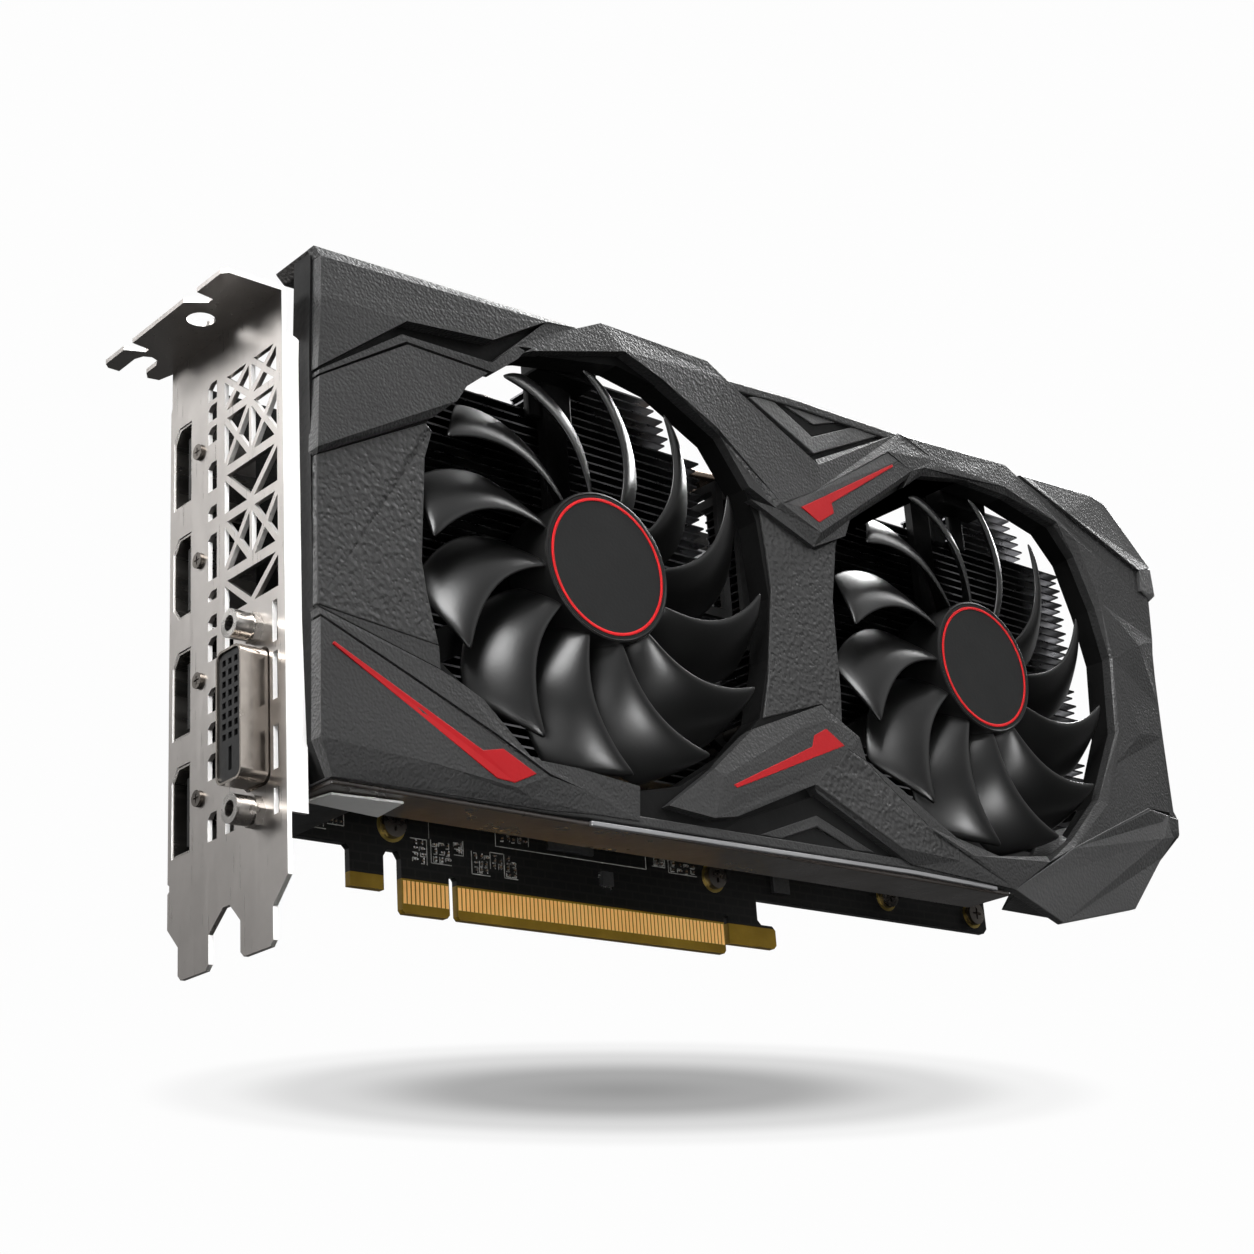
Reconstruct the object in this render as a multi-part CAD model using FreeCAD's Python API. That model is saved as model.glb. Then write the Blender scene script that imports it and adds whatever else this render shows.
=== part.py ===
"""Two-slot graphics card with two axial fans, as an assembly of its real pieces.

Frame: millimetres, +Z up. The origin is on the board's component face, at the
bottom of the edge connector, in the middle of the key notch. +X runs along the
card away from the I/O bracket, -Y is the side that the fans face.

While a piece is being made, X is measured from the outer face of the bracket;
export() moves every piece by KEY_X so that the key notch is at X = 0.
"""
import FreeCAD, Part
import math
import os

V = FreeCAD.Vector
AXIS_X = V(1, 0, 0)
AXIS_Y = V(0, 1, 0)
AXIS_Z = V(0, 0, 1)

# ---- driving dimensions (mm) ----
KEY_X = 60.15            # key notch centre, from the bracket's outer face

SHEET = 0.9              # bracket sheet thickness
BRACKET_BACK = 3.78      # bracket's edge on the solder side
BRACKET_FRONT = -34.96   # bracket's edge on the fan side: 38.74 wide in all
TAB_Z = 102.0            # underside of the mounting tab
TAB_REACH = -12.0        # how far the tab reaches outward
TONGUE_Z = -17.15        # bottom of the bracket's tongues
SCREW_HOLE = (-6.2, -17.5)   # tab screw hole, X and Y
SCREW_HOLE_R = 2.6
SLOT_PITCH = 20.32       # expansion slot pitch

BOARD_T = 1.57
BOARD_END = 219.8
BOARD_TOP = 98.4
PAD_PITCH = 1.0
PAD_W = 0.7
PAD_T = 0.05

PORT_Y = (-3.7, 2.4)     # DisplayPort and HDMI shells straddle the board
PORTS = {"dp_1": (72.2, 88.5), "hdmi": (49.9, 65.8), "dp_2": (26.9, 43.2), "dp_3": (5.1, 21.4)}
PORT_SCREW_Y = -7.0
PORT_SCREW_Z = (80.7, 58.9, 35.7, 13.8)

DVI_Y = -25.7
DVI_Z = 23.05
JACK_SPACING = 33.1
JACK_THREAD_R = 1.42     # 4-40 thread

FAN_X = {"left": 70.17, "right": 181.15}
FAN_Z = 61.65
BLADES = 12
BLADE_START = {"left": 10.9, "right": 3.9}   # first blade's leading root, from +X (deg)
BLADE_R = 42.0
HUB_R = 15.4
HUB_FACE = -39.3
DUCT_R = 44.6
SHAFT_R = 1.5
SHAFT_CLEARANCE = 0.03

FRONT = -39.5            # general front face of the shroud
SKIN = 2.4
WALL_BACK = -27.0
RAISED = -41.0           # front of the raised bridges and corner covers

FIN_PITCH = 1.9
FIN_T = 0.4
FIN_FRONT = -24.0
FIN_Z0 = 26.0
PIPE_R = 3.0
PIPE_Y = -7.9


# ---- small builders ----
def box(x0, x1, y0, y1, z0, z1):
    return Part.makeBox(x1 - x0, y1 - y0, z1 - z0, V(x0, y0, z0))


def cyl(axis, centre, r, length):
    return Part.makeCylinder(r, length, V(*centre), axis)


def plate_xz(points, y0, y1):
    """Flat plate with an outline in X and Z, from y0 to y1."""
    face = Part.Face(Part.makePolygon([V(x, y0, z) for x, z in points + points[:1]]))
    return face.extrude(V(0, y1 - y0, 0))


def plate_yz(points, x0, x1):
    face = Part.Face(Part.makePolygon([V(x0, y, z) for y, z in points + points[:1]]))
    return face.extrude(V(x1 - x0, 0, 0))


def plate_xy(points, z0, z1):
    face = Part.Face(Part.makePolygon([V(x, y, z0) for x, y in points + points[:1]]))
    return face.extrude(V(0, 0, z1 - z0))


def rounded_yz(y0, y1, z0, z1, r, x0, x1):
    """Bar along X with a rounded rectangular section."""
    bar = box(x0, x1, y0, y1, z0, z1)
    edges = [e for e in bar.Edges if abs(e.tangentAt(e.FirstParameter).x) > 0.9]
    return bar.makeFillet(r, edges)


def union(shapes):
    whole = shapes[0].multiFuse(shapes[1:]) if len(shapes) > 1 else shapes[0]
    return whole.removeSplitter()


def group(shapes):
    return Part.makeCompound(shapes)


def export(name, shape):
    placed = shape.copy()
    placed.translate(V(-KEY_X, 0, 0))
    placed.exportStep("parts/%s.step" % name)
    print("%-22s %4d solid(s) %10.1f mm3 valid %s"
          % (name, len(placed.Solids), placed.Volume, placed.isValid()))


# ---- I/O bracket and its connectors ----
def bracket_outline():
    return [
        (BRACKET_BACK - 0.4, TAB_Z + SHEET), (BRACKET_BACK - 0.4, 94.0), (BRACKET_BACK, 93.0),
        (BRACKET_BACK, 0.8), (BRACKET_BACK - 0.6, 0.4), (BRACKET_BACK - 0.6, -0.6),
        (BRACKET_BACK, -1.0), (BRACKET_BACK, -7.4), (0.1, -11.2), (0.1, -16.2),
        (-0.85, TONGUE_Z), (-9.1, TONGUE_Z), (-10.1, -16.2), (-10.1, -11.1),
        (-14.8, -7.4), (-16.9, -7.4), (-20.3, -10.8), (-20.3, -16.2),
        (-21.3, TONGUE_Z), (-29.4, TONGUE_Z), (-30.4, -16.2), (-30.4, -10.6),
        (BRACKET_FRONT, -6.2), (BRACKET_FRONT, TAB_Z + SHEET),
    ]


def tab_outline():
    notch_y = SCREW_HOLE[1] + SLOT_PITCH
    notch_x = SCREW_HOLE[0]
    return [
        (SHEET, BRACKET_FRONT), (TAB_REACH + 1.0, BRACKET_FRONT), (TAB_REACH, BRACKET_FRONT + 1.0),
        (TAB_REACH, -25.8), (-8.3, -25.2), (-8.3, -23.7), (TAB_REACH, -21.2),
        (TAB_REACH, -2.6), (-8.2, -2.0), (-8.2, -0.8), (TAB_REACH, 0.7),
        (TAB_REACH, 7.6), (TAB_REACH + 1.1, 8.7), (notch_x - 2.3, 8.8), (notch_x - 2.3, notch_y),
        (notch_x - 1.5, notch_y - 1.8), (notch_x, notch_y - 2.4), (notch_x + 1.5, notch_y - 1.8),
        (notch_x + 2.3, notch_y), (notch_x + 2.3, 6.6), (-2.7, 8.3), (-0.4, 7.9),
        (SHEET, BRACKET_BACK - 0.4),
    ]


def narrow_vents():
    """Single column of small slots between the ports and the wide vents."""
    spans = [(89.8, 93.4), (85.6, 88.8), (81.0, 84.2), (71.4, 77.0), (65.6, 68.2), (53.8, 62.6),
             (49.8, 51.6), (44.2, 46.8), (38.3, 42.6), (28.6, 33.0), (22.8, 26.6), (16.2, 20.8),
             (5.2, 10.2)]
    return [plate_yz([(-12.8, z0), (-9.8, z0), (-9.8, z1 - 0.9), (-10.9, z1), (-12.8, z1)],
                     -0.5, SHEET + 0.5) for z0, z1 in spans]


def crossed_cell(y0, y1, z0, z1, web):
    """Four triangles that leave a web crossed corner to corner."""
    ym, zm = (y0 + y1) / 2, (z0 + z1) / 2
    return [
        [(y0 + web, z1), (y1 - web, z1), (ym, zm + web)],
        [(y0 + web, z0), (y1 - web, z0), (ym, zm - web)],
        [(y0, z0 + web), (y0, z1 - web), (ym - web, zm)],
        [(y1, z0 + web), (y1, z1 - web), (ym + web, zm)],
    ]


def wide_vents():
    """Five rows of openings: crossed webs in three rows, one deep V in the other two."""
    rows = [(85.6, 92.4), (74.3, 84.0), (65.1, 72.5), (53.8, 63.3), (45.2, 51.8)]
    y0, y1, web = -33.0, -15.5, 0.8
    mid = (y0 + y1) / 2
    holes = []
    for i, (z0, z1) in enumerate(rows):
        if i in (2, 4):
            holes.append([(y0 + web, z1), (y1 - web, z1), (mid, z0 + web)])
            holes.append([(y0, z1 - web), (y0, z0), (mid - 1.5 * web, z0)])
            holes.append([(y1, z1 - web), (y1, z0), (mid + 1.5 * web, z0)])
        else:
            holes += crossed_cell(y0, mid - web / 2, z0, z1, web)
            holes += crossed_cell(mid + web / 2, y1, z0, z1, web)
    return [plate_yz(p, -0.5, SHEET + 0.5) for p in holes]


def port_opening(z0, z1, chamfer_both):
    y0, y1 = PORT_Y[0] - 0.15, PORT_Y[1] + 0.15
    low = 2.0 if chamfer_both else 0.0
    points = [(y0, z0 - 0.15), (y1 - low, z0 - 0.15), (y1, z0 - 0.15 + low * 1.2),
              (y1, z1 - 2.4), (y1 - 1.8, z1 + 0.15), (y0, z1 + 0.15)]
    return points if chamfer_both else points[:1] + points[2:]


def io_bracket():
    plate = plate_yz(bracket_outline(), 0, SHEET)
    tab = plate_xy(tab_outline(), TAB_Z, TAB_Z + SHEET)
    flange = box(SHEET, 4.2, BRACKET_FRONT, BRACKET_FRONT + SHEET, 4.5, 93.5)
    corner = [e for e in flange.Edges
              if abs(e.tangentAt(0).y) > 0.9 and e.BoundBox.XMin > 4 and e.BoundBox.ZMin > 90]
    flange = flange.makeFillet(2.4, corner)
    holes = narrow_vents() + wide_vents()
    for name, (z0, z1) in PORTS.items():
        holes.append(plate_yz(port_opening(z0, z1, name == "hdmi"), -0.5, SHEET + 0.5))
    for z in PORT_SCREW_Z:
        holes.append(cyl(AXIS_X, (-0.5, PORT_SCREW_Y, z), 0.95, 2))
    holes.append(rounded_yz(DVI_Y - 4.3, DVI_Y + 4.3, DVI_Z - 12.4, DVI_Z + 12.4, 2.0, -0.5, 1.5))
    for side in (-1, 1):
        holes.append(cyl(AXIS_X, (-0.5, DVI_Y, DVI_Z + side * JACK_SPACING / 2), 1.75, 2))
    for z0, z1 in ((35.4, 43.0), (25.0, 33.6), (12.6, 20.4), (4.8, 9.4)):
        holes.append(box(-0.5, 1.5, -32.6, -31.0, z0, z1))
    for z0, z1 in ((36.2, 43.6), (5.2, 9.2)):
        holes.append(box(-0.5, 1.5, -18.4, -15.6, z0, z1))
    hole = cyl(AXIS_Z, (SCREW_HOLE[0], SCREW_HOLE[1], TAB_Z - 1), SCREW_HOLE_R, 3)
    return union([plate, tab, flange]).cut(group(holes + [hole]))


def port_screws():
    """Small pan-head screws that hold the display connectors' ears."""
    screws = []
    for z in PORT_SCREW_Z:
        head = cyl(AXIS_X, (-0.75, PORT_SCREW_Y, z), 1.5, 0.75)
        shank = cyl(AXIS_X, (0, PORT_SCREW_Y, z), 0.8, 1.9)
        slot_a = box(-0.8, -0.4, PORT_SCREW_Y - 0.85, PORT_SCREW_Y + 0.85, z - 0.16, z + 0.16)
        slot_b = box(-0.8, -0.4, PORT_SCREW_Y - 0.16, PORT_SCREW_Y + 0.16, z - 0.85, z + 0.85)
        screws.append(union([head, shank]).cut(group([slot_a, slot_b])))
    return group(screws)


def port_section(z0, z1, inset, chamfer_both):
    y0, y1 = PORT_Y[0] + inset, PORT_Y[1] - inset
    z0, z1 = z0 + inset, z1 - inset
    low = 1.8 if chamfer_both else 0.0
    points = [(y0, z0), (y1 - low, z0), (y1, z0 + low * 1.2), (y1, z1 - 2.2), (y1 - 1.7, z1),
              (y0, z1)]
    return points if chamfer_both else points[:1] + points[2:]


def port_shell(name, screw_z):
    """Folded metal shell, closed at the back, with an ear for its screw."""
    z0, z1 = PORTS[name]
    both = name == "hdmi"
    outer = plate_yz(port_section(z0, z1, 0, both), 0.2, 14.0)
    inner = plate_yz(port_section(z0, z1, 0.35, both), 0.1, 13.6)
    ear = box(SHEET, 1.9, PORT_SCREW_Y - 1.8, PORT_Y[0] + 0.2, screw_z - 2.2, screw_z + 2.2)
    tapped = cyl(AXIS_X, (0.5, PORT_SCREW_Y, screw_z), 0.8, 3)
    return union([outer, ear]).cut(group([inner, tapped]))


def port_core(name):
    """Black insulator with the contact tongue that a plug slides over."""
    z0, z1 = PORTS[name]
    both = name == "hdmi"
    back = plate_yz(port_section(z0, z1, 0.35, both), 8.0, 13.6)
    mid = (PORT_Y[0] + PORT_Y[1]) / 2
    tongue = box(1.6, 8.0, mid - 0.55, mid + 0.55, z0 + 1.9, z1 - 1.9)
    ribs = [box(1.9, 8.0, mid - 0.8, mid - 0.55, z0 + 2.6 + i * 1.3, z0 + 3.1 + i * 1.3)
            for i in range(9)]
    return union([back, tongue] + ribs)


def dvi_shell():
    """Plated shell that stands out of the bracket, with its rear flange."""
    y0, y1 = DVI_Y - 4.0, DVI_Y + 4.0
    z0, z1 = DVI_Z - 12.0, DVI_Z + 12.0
    skirt = rounded_yz(y0, y1, z0, z1, 1.8, -5.6, 1.0)
    flange = box(SHEET + 0.1, 1.5, DVI_Y - 5.0, DVI_Y + 5.0, DVI_Z - 19.6, DVI_Z + 19.6)
    bore = rounded_yz(y0 + 0.4, y1 - 0.4, z0 + 0.4, z1 - 0.4, 1.5, -6.0, 2.0)
    holes = [cyl(AXIS_X, (0, DVI_Y, DVI_Z + side * JACK_SPACING / 2), 1.75, 3)
             for side in (-1, 1)]
    return union([skirt, flange]).cut(group([bore] + holes))


def dvi_housing():
    """Insulating block: pin face inside the shell, riser down to the board."""
    face = rounded_yz(DVI_Y - 3.55, DVI_Y + 3.55, DVI_Z - 11.55, DVI_Z + 11.55, 1.4, -5.2, 1.6)
    body = box(1.5, 16.0, -30.8, -9.4, DVI_Z - 13.4, DVI_Z + 13.4)
    riser = box(15.0, 19.6, -30.8, 0, DVI_Z - 13.4, DVI_Z + 13.4)
    cuts = []
    for row in range(8):
        for col in (-1, 0, 1):
            y = DVI_Y + col * 1.905
            z = DVI_Z + 9.7 - row * 1.905
            cuts.append(box(-5.5, 0.5, y - 0.55, y + 0.55, z - 0.55, z + 0.55))
    cuts.append(box(-5.5, 0.5, DVI_Y - 0.5, DVI_Y + 0.5, DVI_Z - 9.8, DVI_Z - 5.6))
    for side in (-1, 1):
        cuts.append(cyl(AXIS_X, (1.4, DVI_Y, DVI_Z + side * JACK_SPACING / 2), 2.0, 4))
    return union([face, body, riser]).cut(group(cuts))


def hexagon(y, z, across_flats, x0, x1):
    r = across_flats / math.sqrt(3)
    points = [(y + r * math.cos(math.radians(60 * k)), z + r * math.sin(math.radians(60 * k)))
              for k in range(6)]
    return plate_yz(points, x0, x1)


def jack_posts():
    """Round posts on a hexagonal foot, threaded 4-40 for the plug's thumb screws."""
    posts = []
    for side in (-1, 1):
        z = DVI_Z + side * JACK_SPACING / 2
        foot = hexagon(DVI_Y, z, 5.0, -1.5, 0)
        neck = cyl(AXIS_X, (-1.9, DVI_Y, z), 2.2, 0.4)
        barrel = cyl(AXIS_X, (-5.4, DVI_Y, z), 2.6, 3.5)
        stem = cyl(AXIS_X, (0, DVI_Y, z), 1.7, 4.5)
        post = union([foot, neck, barrel, stem])
        posts.append(post.cut(cyl(AXIS_X, (-6, DVI_Y, z), JACK_THREAD_R, 7.5)))
    return group(posts)


# ---- circuit board ----
def board_outline():
    return [
        (1.6, 4.0), (15.4, 4.0), (16.6, 5.2), (16.6, 12.0), (35.4, 12.0), (36.2, 11.2),
        (36.2, 4.0), (43.9, 4.0), (43.9, 10.6),
        (44.8, 12.0), (47.1, 12.0), (48.0, 10.6), (48.0, 0.7), (48.6, 0), (58.6, 0),
        (59.2, 0.7), (59.2, 7.8), (59.6, 8.4), (60.7, 8.4), (61.1, 7.8), (61.1, 0.7),
        (61.7, 0), (131.7, 0), (132.3, 0.7), (132.3, 8.4), (133.6, 8.4), (133.6, 2.4),
        (146.9, 2.4), (147.7, 3.2), (147.7, 6.5), (146.8, 7.4), (143.5, 7.4), (142.5, 8.4),
        (142.5, 12.9), (218.6, 12.9), (BOARD_END, 14.1), (BOARD_END, BOARD_TOP), (1.6, BOARD_TOP),
    ]


BOARD_SCREWS = ((45.9, 16.8), (130.1, 16.4), (185.0, 18.2), (215.1, 17.2))
GPU_AT = (96.0, 55.0)
COOLER_HALF = 27.0


def cooler_holes():
    cx, cz = GPU_AT
    return [(cx + sx * COOLER_HALF, cz + sz * COOLER_HALF) for sx in (-1, 1) for sz in (-1, 1)]


def board():
    blank = plate_xz(board_outline(), 0, BOARD_T)
    cuts = []
    for z0, z1 in PORTS.values():
        cuts.append(box(1.0, 14.5, -1, 3, z0 - 0.4, z1 + 0.4))
    for x, z in list(BOARD_SCREWS) + cooler_holes():
        cuts.append(cyl(AXIS_Y, (x, -1, z), 1.6, 4))
    return blank.cut(group(cuts))


def edge_contacts():
    """Gold fingers: 11 before the key notch and 71 after it, on both faces."""
    pads = []
    for i in range(82):
        offset = -11.5 + i if i < 11 else 1.5 + (i - 11)
        x = KEY_X + offset * PAD_PITCH
        pads.append(box(x - PAD_W / 2, x + PAD_W / 2, -PAD_T, 0, 1.9, 6.4))
        pads.append(box(x - PAD_W / 2, x + PAD_W / 2, BOARD_T, BOARD_T + PAD_T, 1.9, 6.4))
    return group(pads)


def board_screws():
    screws = []
    for x, z in BOARD_SCREWS:
        head = cyl(AXIS_Y, (x, -1.5, z), 2.6, 1.5)
        shank = cyl(AXIS_Y, (x, 0, z), 1.45, 3.2)
        slot_a = box(x - 1.4, x + 1.4, -1.6, -0.8, z - 0.3, z + 0.3)
        slot_b = box(x - 0.3, x + 0.3, -1.6, -0.8, z - 1.4, z + 1.4)
        nut = cyl(AXIS_Y, (x, BOARD_T, z), 2.4, 1.2)
        screws.append(union([head, shank, nut]).cut(group([slot_a, slot_b])))
    return group(screws)


def gpu_substrate():
    cx, cz = GPU_AT
    return box(cx - 22.5, cx + 22.5, -2.0, 0, cz - 22.5, cz + 22.5)


def gpu_die():
    cx, cz = GPU_AT
    return box(cx - 8, cx + 8, -2.8, -2.0, cz - 7, cz + 7)


MEMORY_AT = [(58, 34), (58, 50), (58, 66), (58, 82), (134, 34), (134, 50), (134, 66), (134, 82)]


def memory_chips():
    return group([box(x - 6, x + 6, -1.2, 0, z - 7, z + 7) for x, z in MEMORY_AT])


def thermal_pads():
    return group([box(x - 6, x + 6, -3.0, -1.2, z - 7, z + 7) for x, z in MEMORY_AT])


def chokes():
    return group([box(152, 159, -6.5, 0, z - 3.5, z + 3.5) for z in (30, 42, 54, 66, 78, 90)])


def mosfets():
    chips = []
    for z in (30, 42, 54, 66, 78, 90):
        chips.append(box(164, 169, -1.0, 0, z - 5, z + 1))
        chips.append(box(172, 177, -1.0, 0, z - 5, z + 1))
    return group(chips)


def capacitors():
    """Polymer cans with a flat base, standing on the board's component face."""
    cans = []
    for x, z in ((184, 32), (184, 44), (184, 56), (184, 68), (196, 32), (196, 44), (196, 56),
                 (196, 68)):
        base = box(x - 4, x + 4, -0.8, 0, z - 4, z + 4)
        can = cyl(AXIS_Y, (x, -6.8, z), 3.9, 6.0)
        cans.append(union([base, can]))
    return group(cans)


def small_parts():
    """Surface-mount resistors, capacitors and small chips along the lower edge."""
    chips = [box(147, 153, -1.0, 0, 14.6, 19.6), box(92.5, 96.5, -0.9, 0, 14.6, 18.6)]
    for x, z, n in ((22.0, 14, 4), (21.0, 17.4, 5), (53, 13.4, 4),
                    (53, 16.6, 4), (70, 13.4, 5), (70, 16.6, 5), (108, 13.6, 4), (108, 17, 4)):
        for k in range(n):
            chips.append(box(x + k * 2.6, x + k * 2.6 + 1.6, -0.7, 0, z - 0.6, z + 0.6))
    return group(chips)


def power_inlet():
    """Eight-way power header at the board's top edge; its cavities face up."""
    body = box(196.0, 217.0, -12.5, 0, 85.0, 101.5)
    latch = box(203.5, 209.5, -13.6, -12.5, 96.0, 99.0)
    cuts = []
    for col in range(4):
        for row in (0, 1):
            x = 199.2 + col * 4.2
            y = -9.6 + row * 5.4
            cuts.append(box(x, x + 3.4, y - 1.7, y + 1.7, 89.0, 102))
    return union([body, latch]).cut(group(cuts))


def power_pins():
    pins = []
    for col in range(4):
        for row in (0, 1):
            x = 200.9 + col * 4.2
            y = -9.6 + row * 5.4
            pins.append(box(x - 0.5, x + 0.5, y - 0.5, y + 0.5, 89.0, 98.0))
    return group(pins)


# ---- cooler ----
def pipe_solid(x0, x1, y1, turn_z, end_z, r):
    """U-shaped heat pipe: up through the base at x0, over, and back at x1."""
    bend = 7.0
    sign = 1 if turn_z > FAN_Z else -1
    y0 = PIPE_Y
    run = math.hypot(x1 - x0, y1 - y0)
    ux, uy = (x1 - x0) / run, (y1 - y0) / run
    k = bend * (1 - math.cos(math.pi / 4))
    s = bend * math.sin(math.pi / 4)
    start = V(x0, y0, FAN_Z - sign * 22)
    a = V(x0, y0, turn_z - sign * bend)
    am = V(x0 + ux * k, y0 + uy * k, turn_z - sign * (bend - s))
    b = V(x0 + ux * bend, y0 + uy * bend, turn_z)
    c = V(x1 - ux * bend, y1 - uy * bend, turn_z)
    cm = V(x1 - ux * k, y1 - uy * k, turn_z - sign * (bend - s))
    d = V(x1, y1, turn_z - sign * bend)
    end = V(x1, y1, end_z)
    path = Part.Wire([Part.LineSegment(start, a).toShape(), Part.Arc(a, am, b).toShape(),
                      Part.LineSegment(b, c).toShape(), Part.Arc(c, cm, d).toShape(),
                      Part.LineSegment(d, end).toShape()])
    section = Part.Wire([Part.Circle(start, AXIS_Z, r).toShape()])
    return path.makePipeShell([section], True, False)


def pipes(r=PIPE_R):
    return [pipe_solid(84.0, 55.0, -16.0, 103.4, 32.0, r),
            pipe_solid(92.0, 36.0, -16.0, 21.6, 92.0, r),
            pipe_solid(100.0, 150.0, -16.0, 103.4, 32.0, r),
            pipe_solid(108.0, 176.0, -16.0, 21.6, 92.0, r)]


def heatsink_base():
    """Cold plate on the GPU with pipe grooves, and the plate over the memory."""
    cx, cz = GPU_AT
    block = box(79, 113, -11.5, -2.8, cz - 19, cz + 19)
    spread = box(50, 142, -5.0, -3.0, 25, 91)
    screws = [cyl(AXIS_Y, (x, -6, z), 1.5, 4) for x, z in cooler_holes()]
    return union([block, spread]).cut(group(pipes() + screws))


def fin_stack(x0, x1, rear):
    """Level plates, one above another, joined by their folded rear edges."""
    plates = [box(x0 + 0.5, x1 - 1.5, rear - 0.4, rear, FIN_Z0, FIN_Z0 + 39 * FIN_PITCH + FIN_T)]
    for i in range(40):
        z = FIN_Z0 + i * FIN_PITCH
        tooth = 0.0 if i % 2 else 1.1
        plates.append(box(x0, x1 - tooth, FIN_FRONT, rear, z, z + FIN_T))
    return plates


def fins_left():
    block = box(78.7, 113, -11.5, -4.9, GPU_AT[1] - 19.3, GPU_AT[1] + 19.3)
    return union(fin_stack(20.0, 112.4, -5.0)).cut(group([block] + pipes()))


def fins_right():
    legs = [box(123.5, 141.0, -14.2, -5.0, z, z + 2.0) for z in (46.0, 70.0)]
    return union(fin_stack(123.0, 235.0, -13.8) + legs).cut(group(pipes()))


def retention_plate():
    """Spring-steel cross behind the GPU that the cooler's screws pull on."""
    cx, cz = GPU_AT
    r = COOLER_HALF
    ring = box(cx - 14, cx + 14, 2.4, 3.6, cz - 14, cz + 14)
    window = box(cx - 8, cx + 8, 2, 4, cz - 8, cz + 8)
    arms = []
    for sx in (-1, 1):
        for sz in (-1, 1):
            w = 3.2
            arms.append(plate_xz([(cx + sx * 9 - sx * w, cz + sz * 9 + sz * w),
                                  (cx + sx * r - sx * w, cz + sz * r + sz * w),
                                  (cx + sx * r + sx * w, cz + sz * r - sz * w),
                                  (cx + sx * 9 + sx * w, cz + sz * 9 - sz * w)][::sx * sz],
                                 2.4, 3.6))
            arms.append(cyl(AXIS_Y, (cx + sx * r, 1.57, cz + sz * r), 4.6, 2.03))
    holes = [cyl(AXIS_Y, (x, 1, z), 1.55, 4) for x, z in cooler_holes()]
    return union([ring] + arms).cut(group([window] + holes))


def cooler_screws():
    screws = []
    for x, z in cooler_holes():
        head = cyl(AXIS_Y, (x, 3.6, z), 3.0, 2.0)
        shank = cyl(AXIS_Y, (x, -5.0, z), 1.5, 8.6)
        slot_a = box(x - 1.6, x + 1.6, 4.8, 6, z - 0.35, z + 0.35)
        slot_b = box(x - 0.35, x + 0.35, 4.8, 6, z - 1.6, z + 1.6)
        screws.append(union([head, shank]).cut(group([slot_a, slot_b])))
    return group(screws)


# ---- shroud ----
HOLDER_ARMS = (90.0, 210.0, 330.0)
EAR_R = 47.8
LEAD_X = {"left": 114.4, "right": 119.9}


def ear_positions(side):
    cx = FAN_X[side]
    return [(cx + EAR_R * math.cos(math.radians(a)), FAN_Z + EAR_R * math.sin(math.radians(a)))
            for a in HOLDER_ARMS]


HOLDER_EARS = ear_positions("left") + ear_positions("right")

SHROUD = [
    (3.5, 16.6), (5.5, 9.8), (52.4, 10.0), (62.3, 10.2), (149.9, 10.2), (181.8, 10.0),
    (196.0, 9.5), (214.5, 9.3), (240.0, 16.6), (247.4, 30.6), (247.8, 35.0), (246.4, 37.0),
    (246.8, 56.0), (247.4, 70.7), (249.2, 90.8), (252.0, 93.3), (251.8, 100.8),
    (236.4, 114.8), (231.2, 115.9), (207.4, 114.8), (203.3, 114.4), (198.4, 115.8),
    (160.6, 114.2), (127.6, 113.9), (106.5, 112.7), (101.7, 115.4), (72.3, 115.3),
    (65.5, 112.1), (33.5, 111.4), (3.5, 110.2), (2.7, 88.0), (2.7, 38.6),
]
POSTS = ((27.0, 95.0), (26.5, 30.0), (228.0, 97.0), (230.0, 29.5))


def shroud_frame():
    """Front skin, side walls and the two fan ducts, open at the back."""
    outer = plate_xz(SHROUD, FRONT, WALL_BACK)
    rim = Part.makePolygon([V(x, FRONT + SKIN, z) for x, z in SHROUD + SHROUD[:1]])
    inner = Part.Face(rim.makeOffset2D(-SKIN, 2)).extrude(V(0, WALL_BACK - FRONT, 0))
    adds = []
    cuts = []
    for x in FAN_X.values():
        adds.append(cyl(AXIS_Y, (x, FRONT + SKIN - 0.1, FAN_Z), DUCT_R + 1.8, 8.0))
        cuts.append(cyl(AXIS_Y, (x, FRONT - 1, FAN_Z), DUCT_R, 20.0))
    for x, z in HOLDER_EARS:
        adds.append(cyl(AXIS_Y, (x, FRONT + SKIN - 0.1, z), 3.0, -26.6 - FRONT - SKIN + 0.1))
        cuts.append(cyl(AXIS_Y, (x, -31.0, z), 1.1, 10.0))
    for x, z in POSTS:
        adds.append(cyl(AXIS_Y, (x, FRONT + SKIN - 0.1, z), 2.6, FIN_FRONT - FRONT - SKIN + 0.1))
    flange_room = box(-1, 6.5, FRONT + SKIN, WALL_BACK + 1, 5.0, 107.8)
    plug_room = box(-1, 24.0, -31.5, WALL_BACK + 1, 5.0, 16.5)
    return union([outer.cut(inner)] + adds).cut(group(cuts + [flange_room, plug_room]))


def left_panel():
    """Coarse-grained panel beside the left fan."""
    outline = [(3.6, 45.0), (3.6, 79.5), (28.6, 84.2), (26.0, 74.0), (24.4, 62.0), (25.6, 48.0),
               (29.0, 36.4), (24.0, 36.6)]
    return plate_xz(outline, FRONT - 0.8, FRONT)


def top_left_panel():
    """Raised plate at the top left whose lower edge makes a zig-zag step."""
    outline = [(3.8, 91.5), (3.8, 108.6), (32.6, 109.8), (62.0, 110.2), (47.0, 101.0),
               (39.5, 104.4), (24.0, 97.5)]
    return plate_xz(outline, FRONT - 1.0, FRONT)


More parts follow.
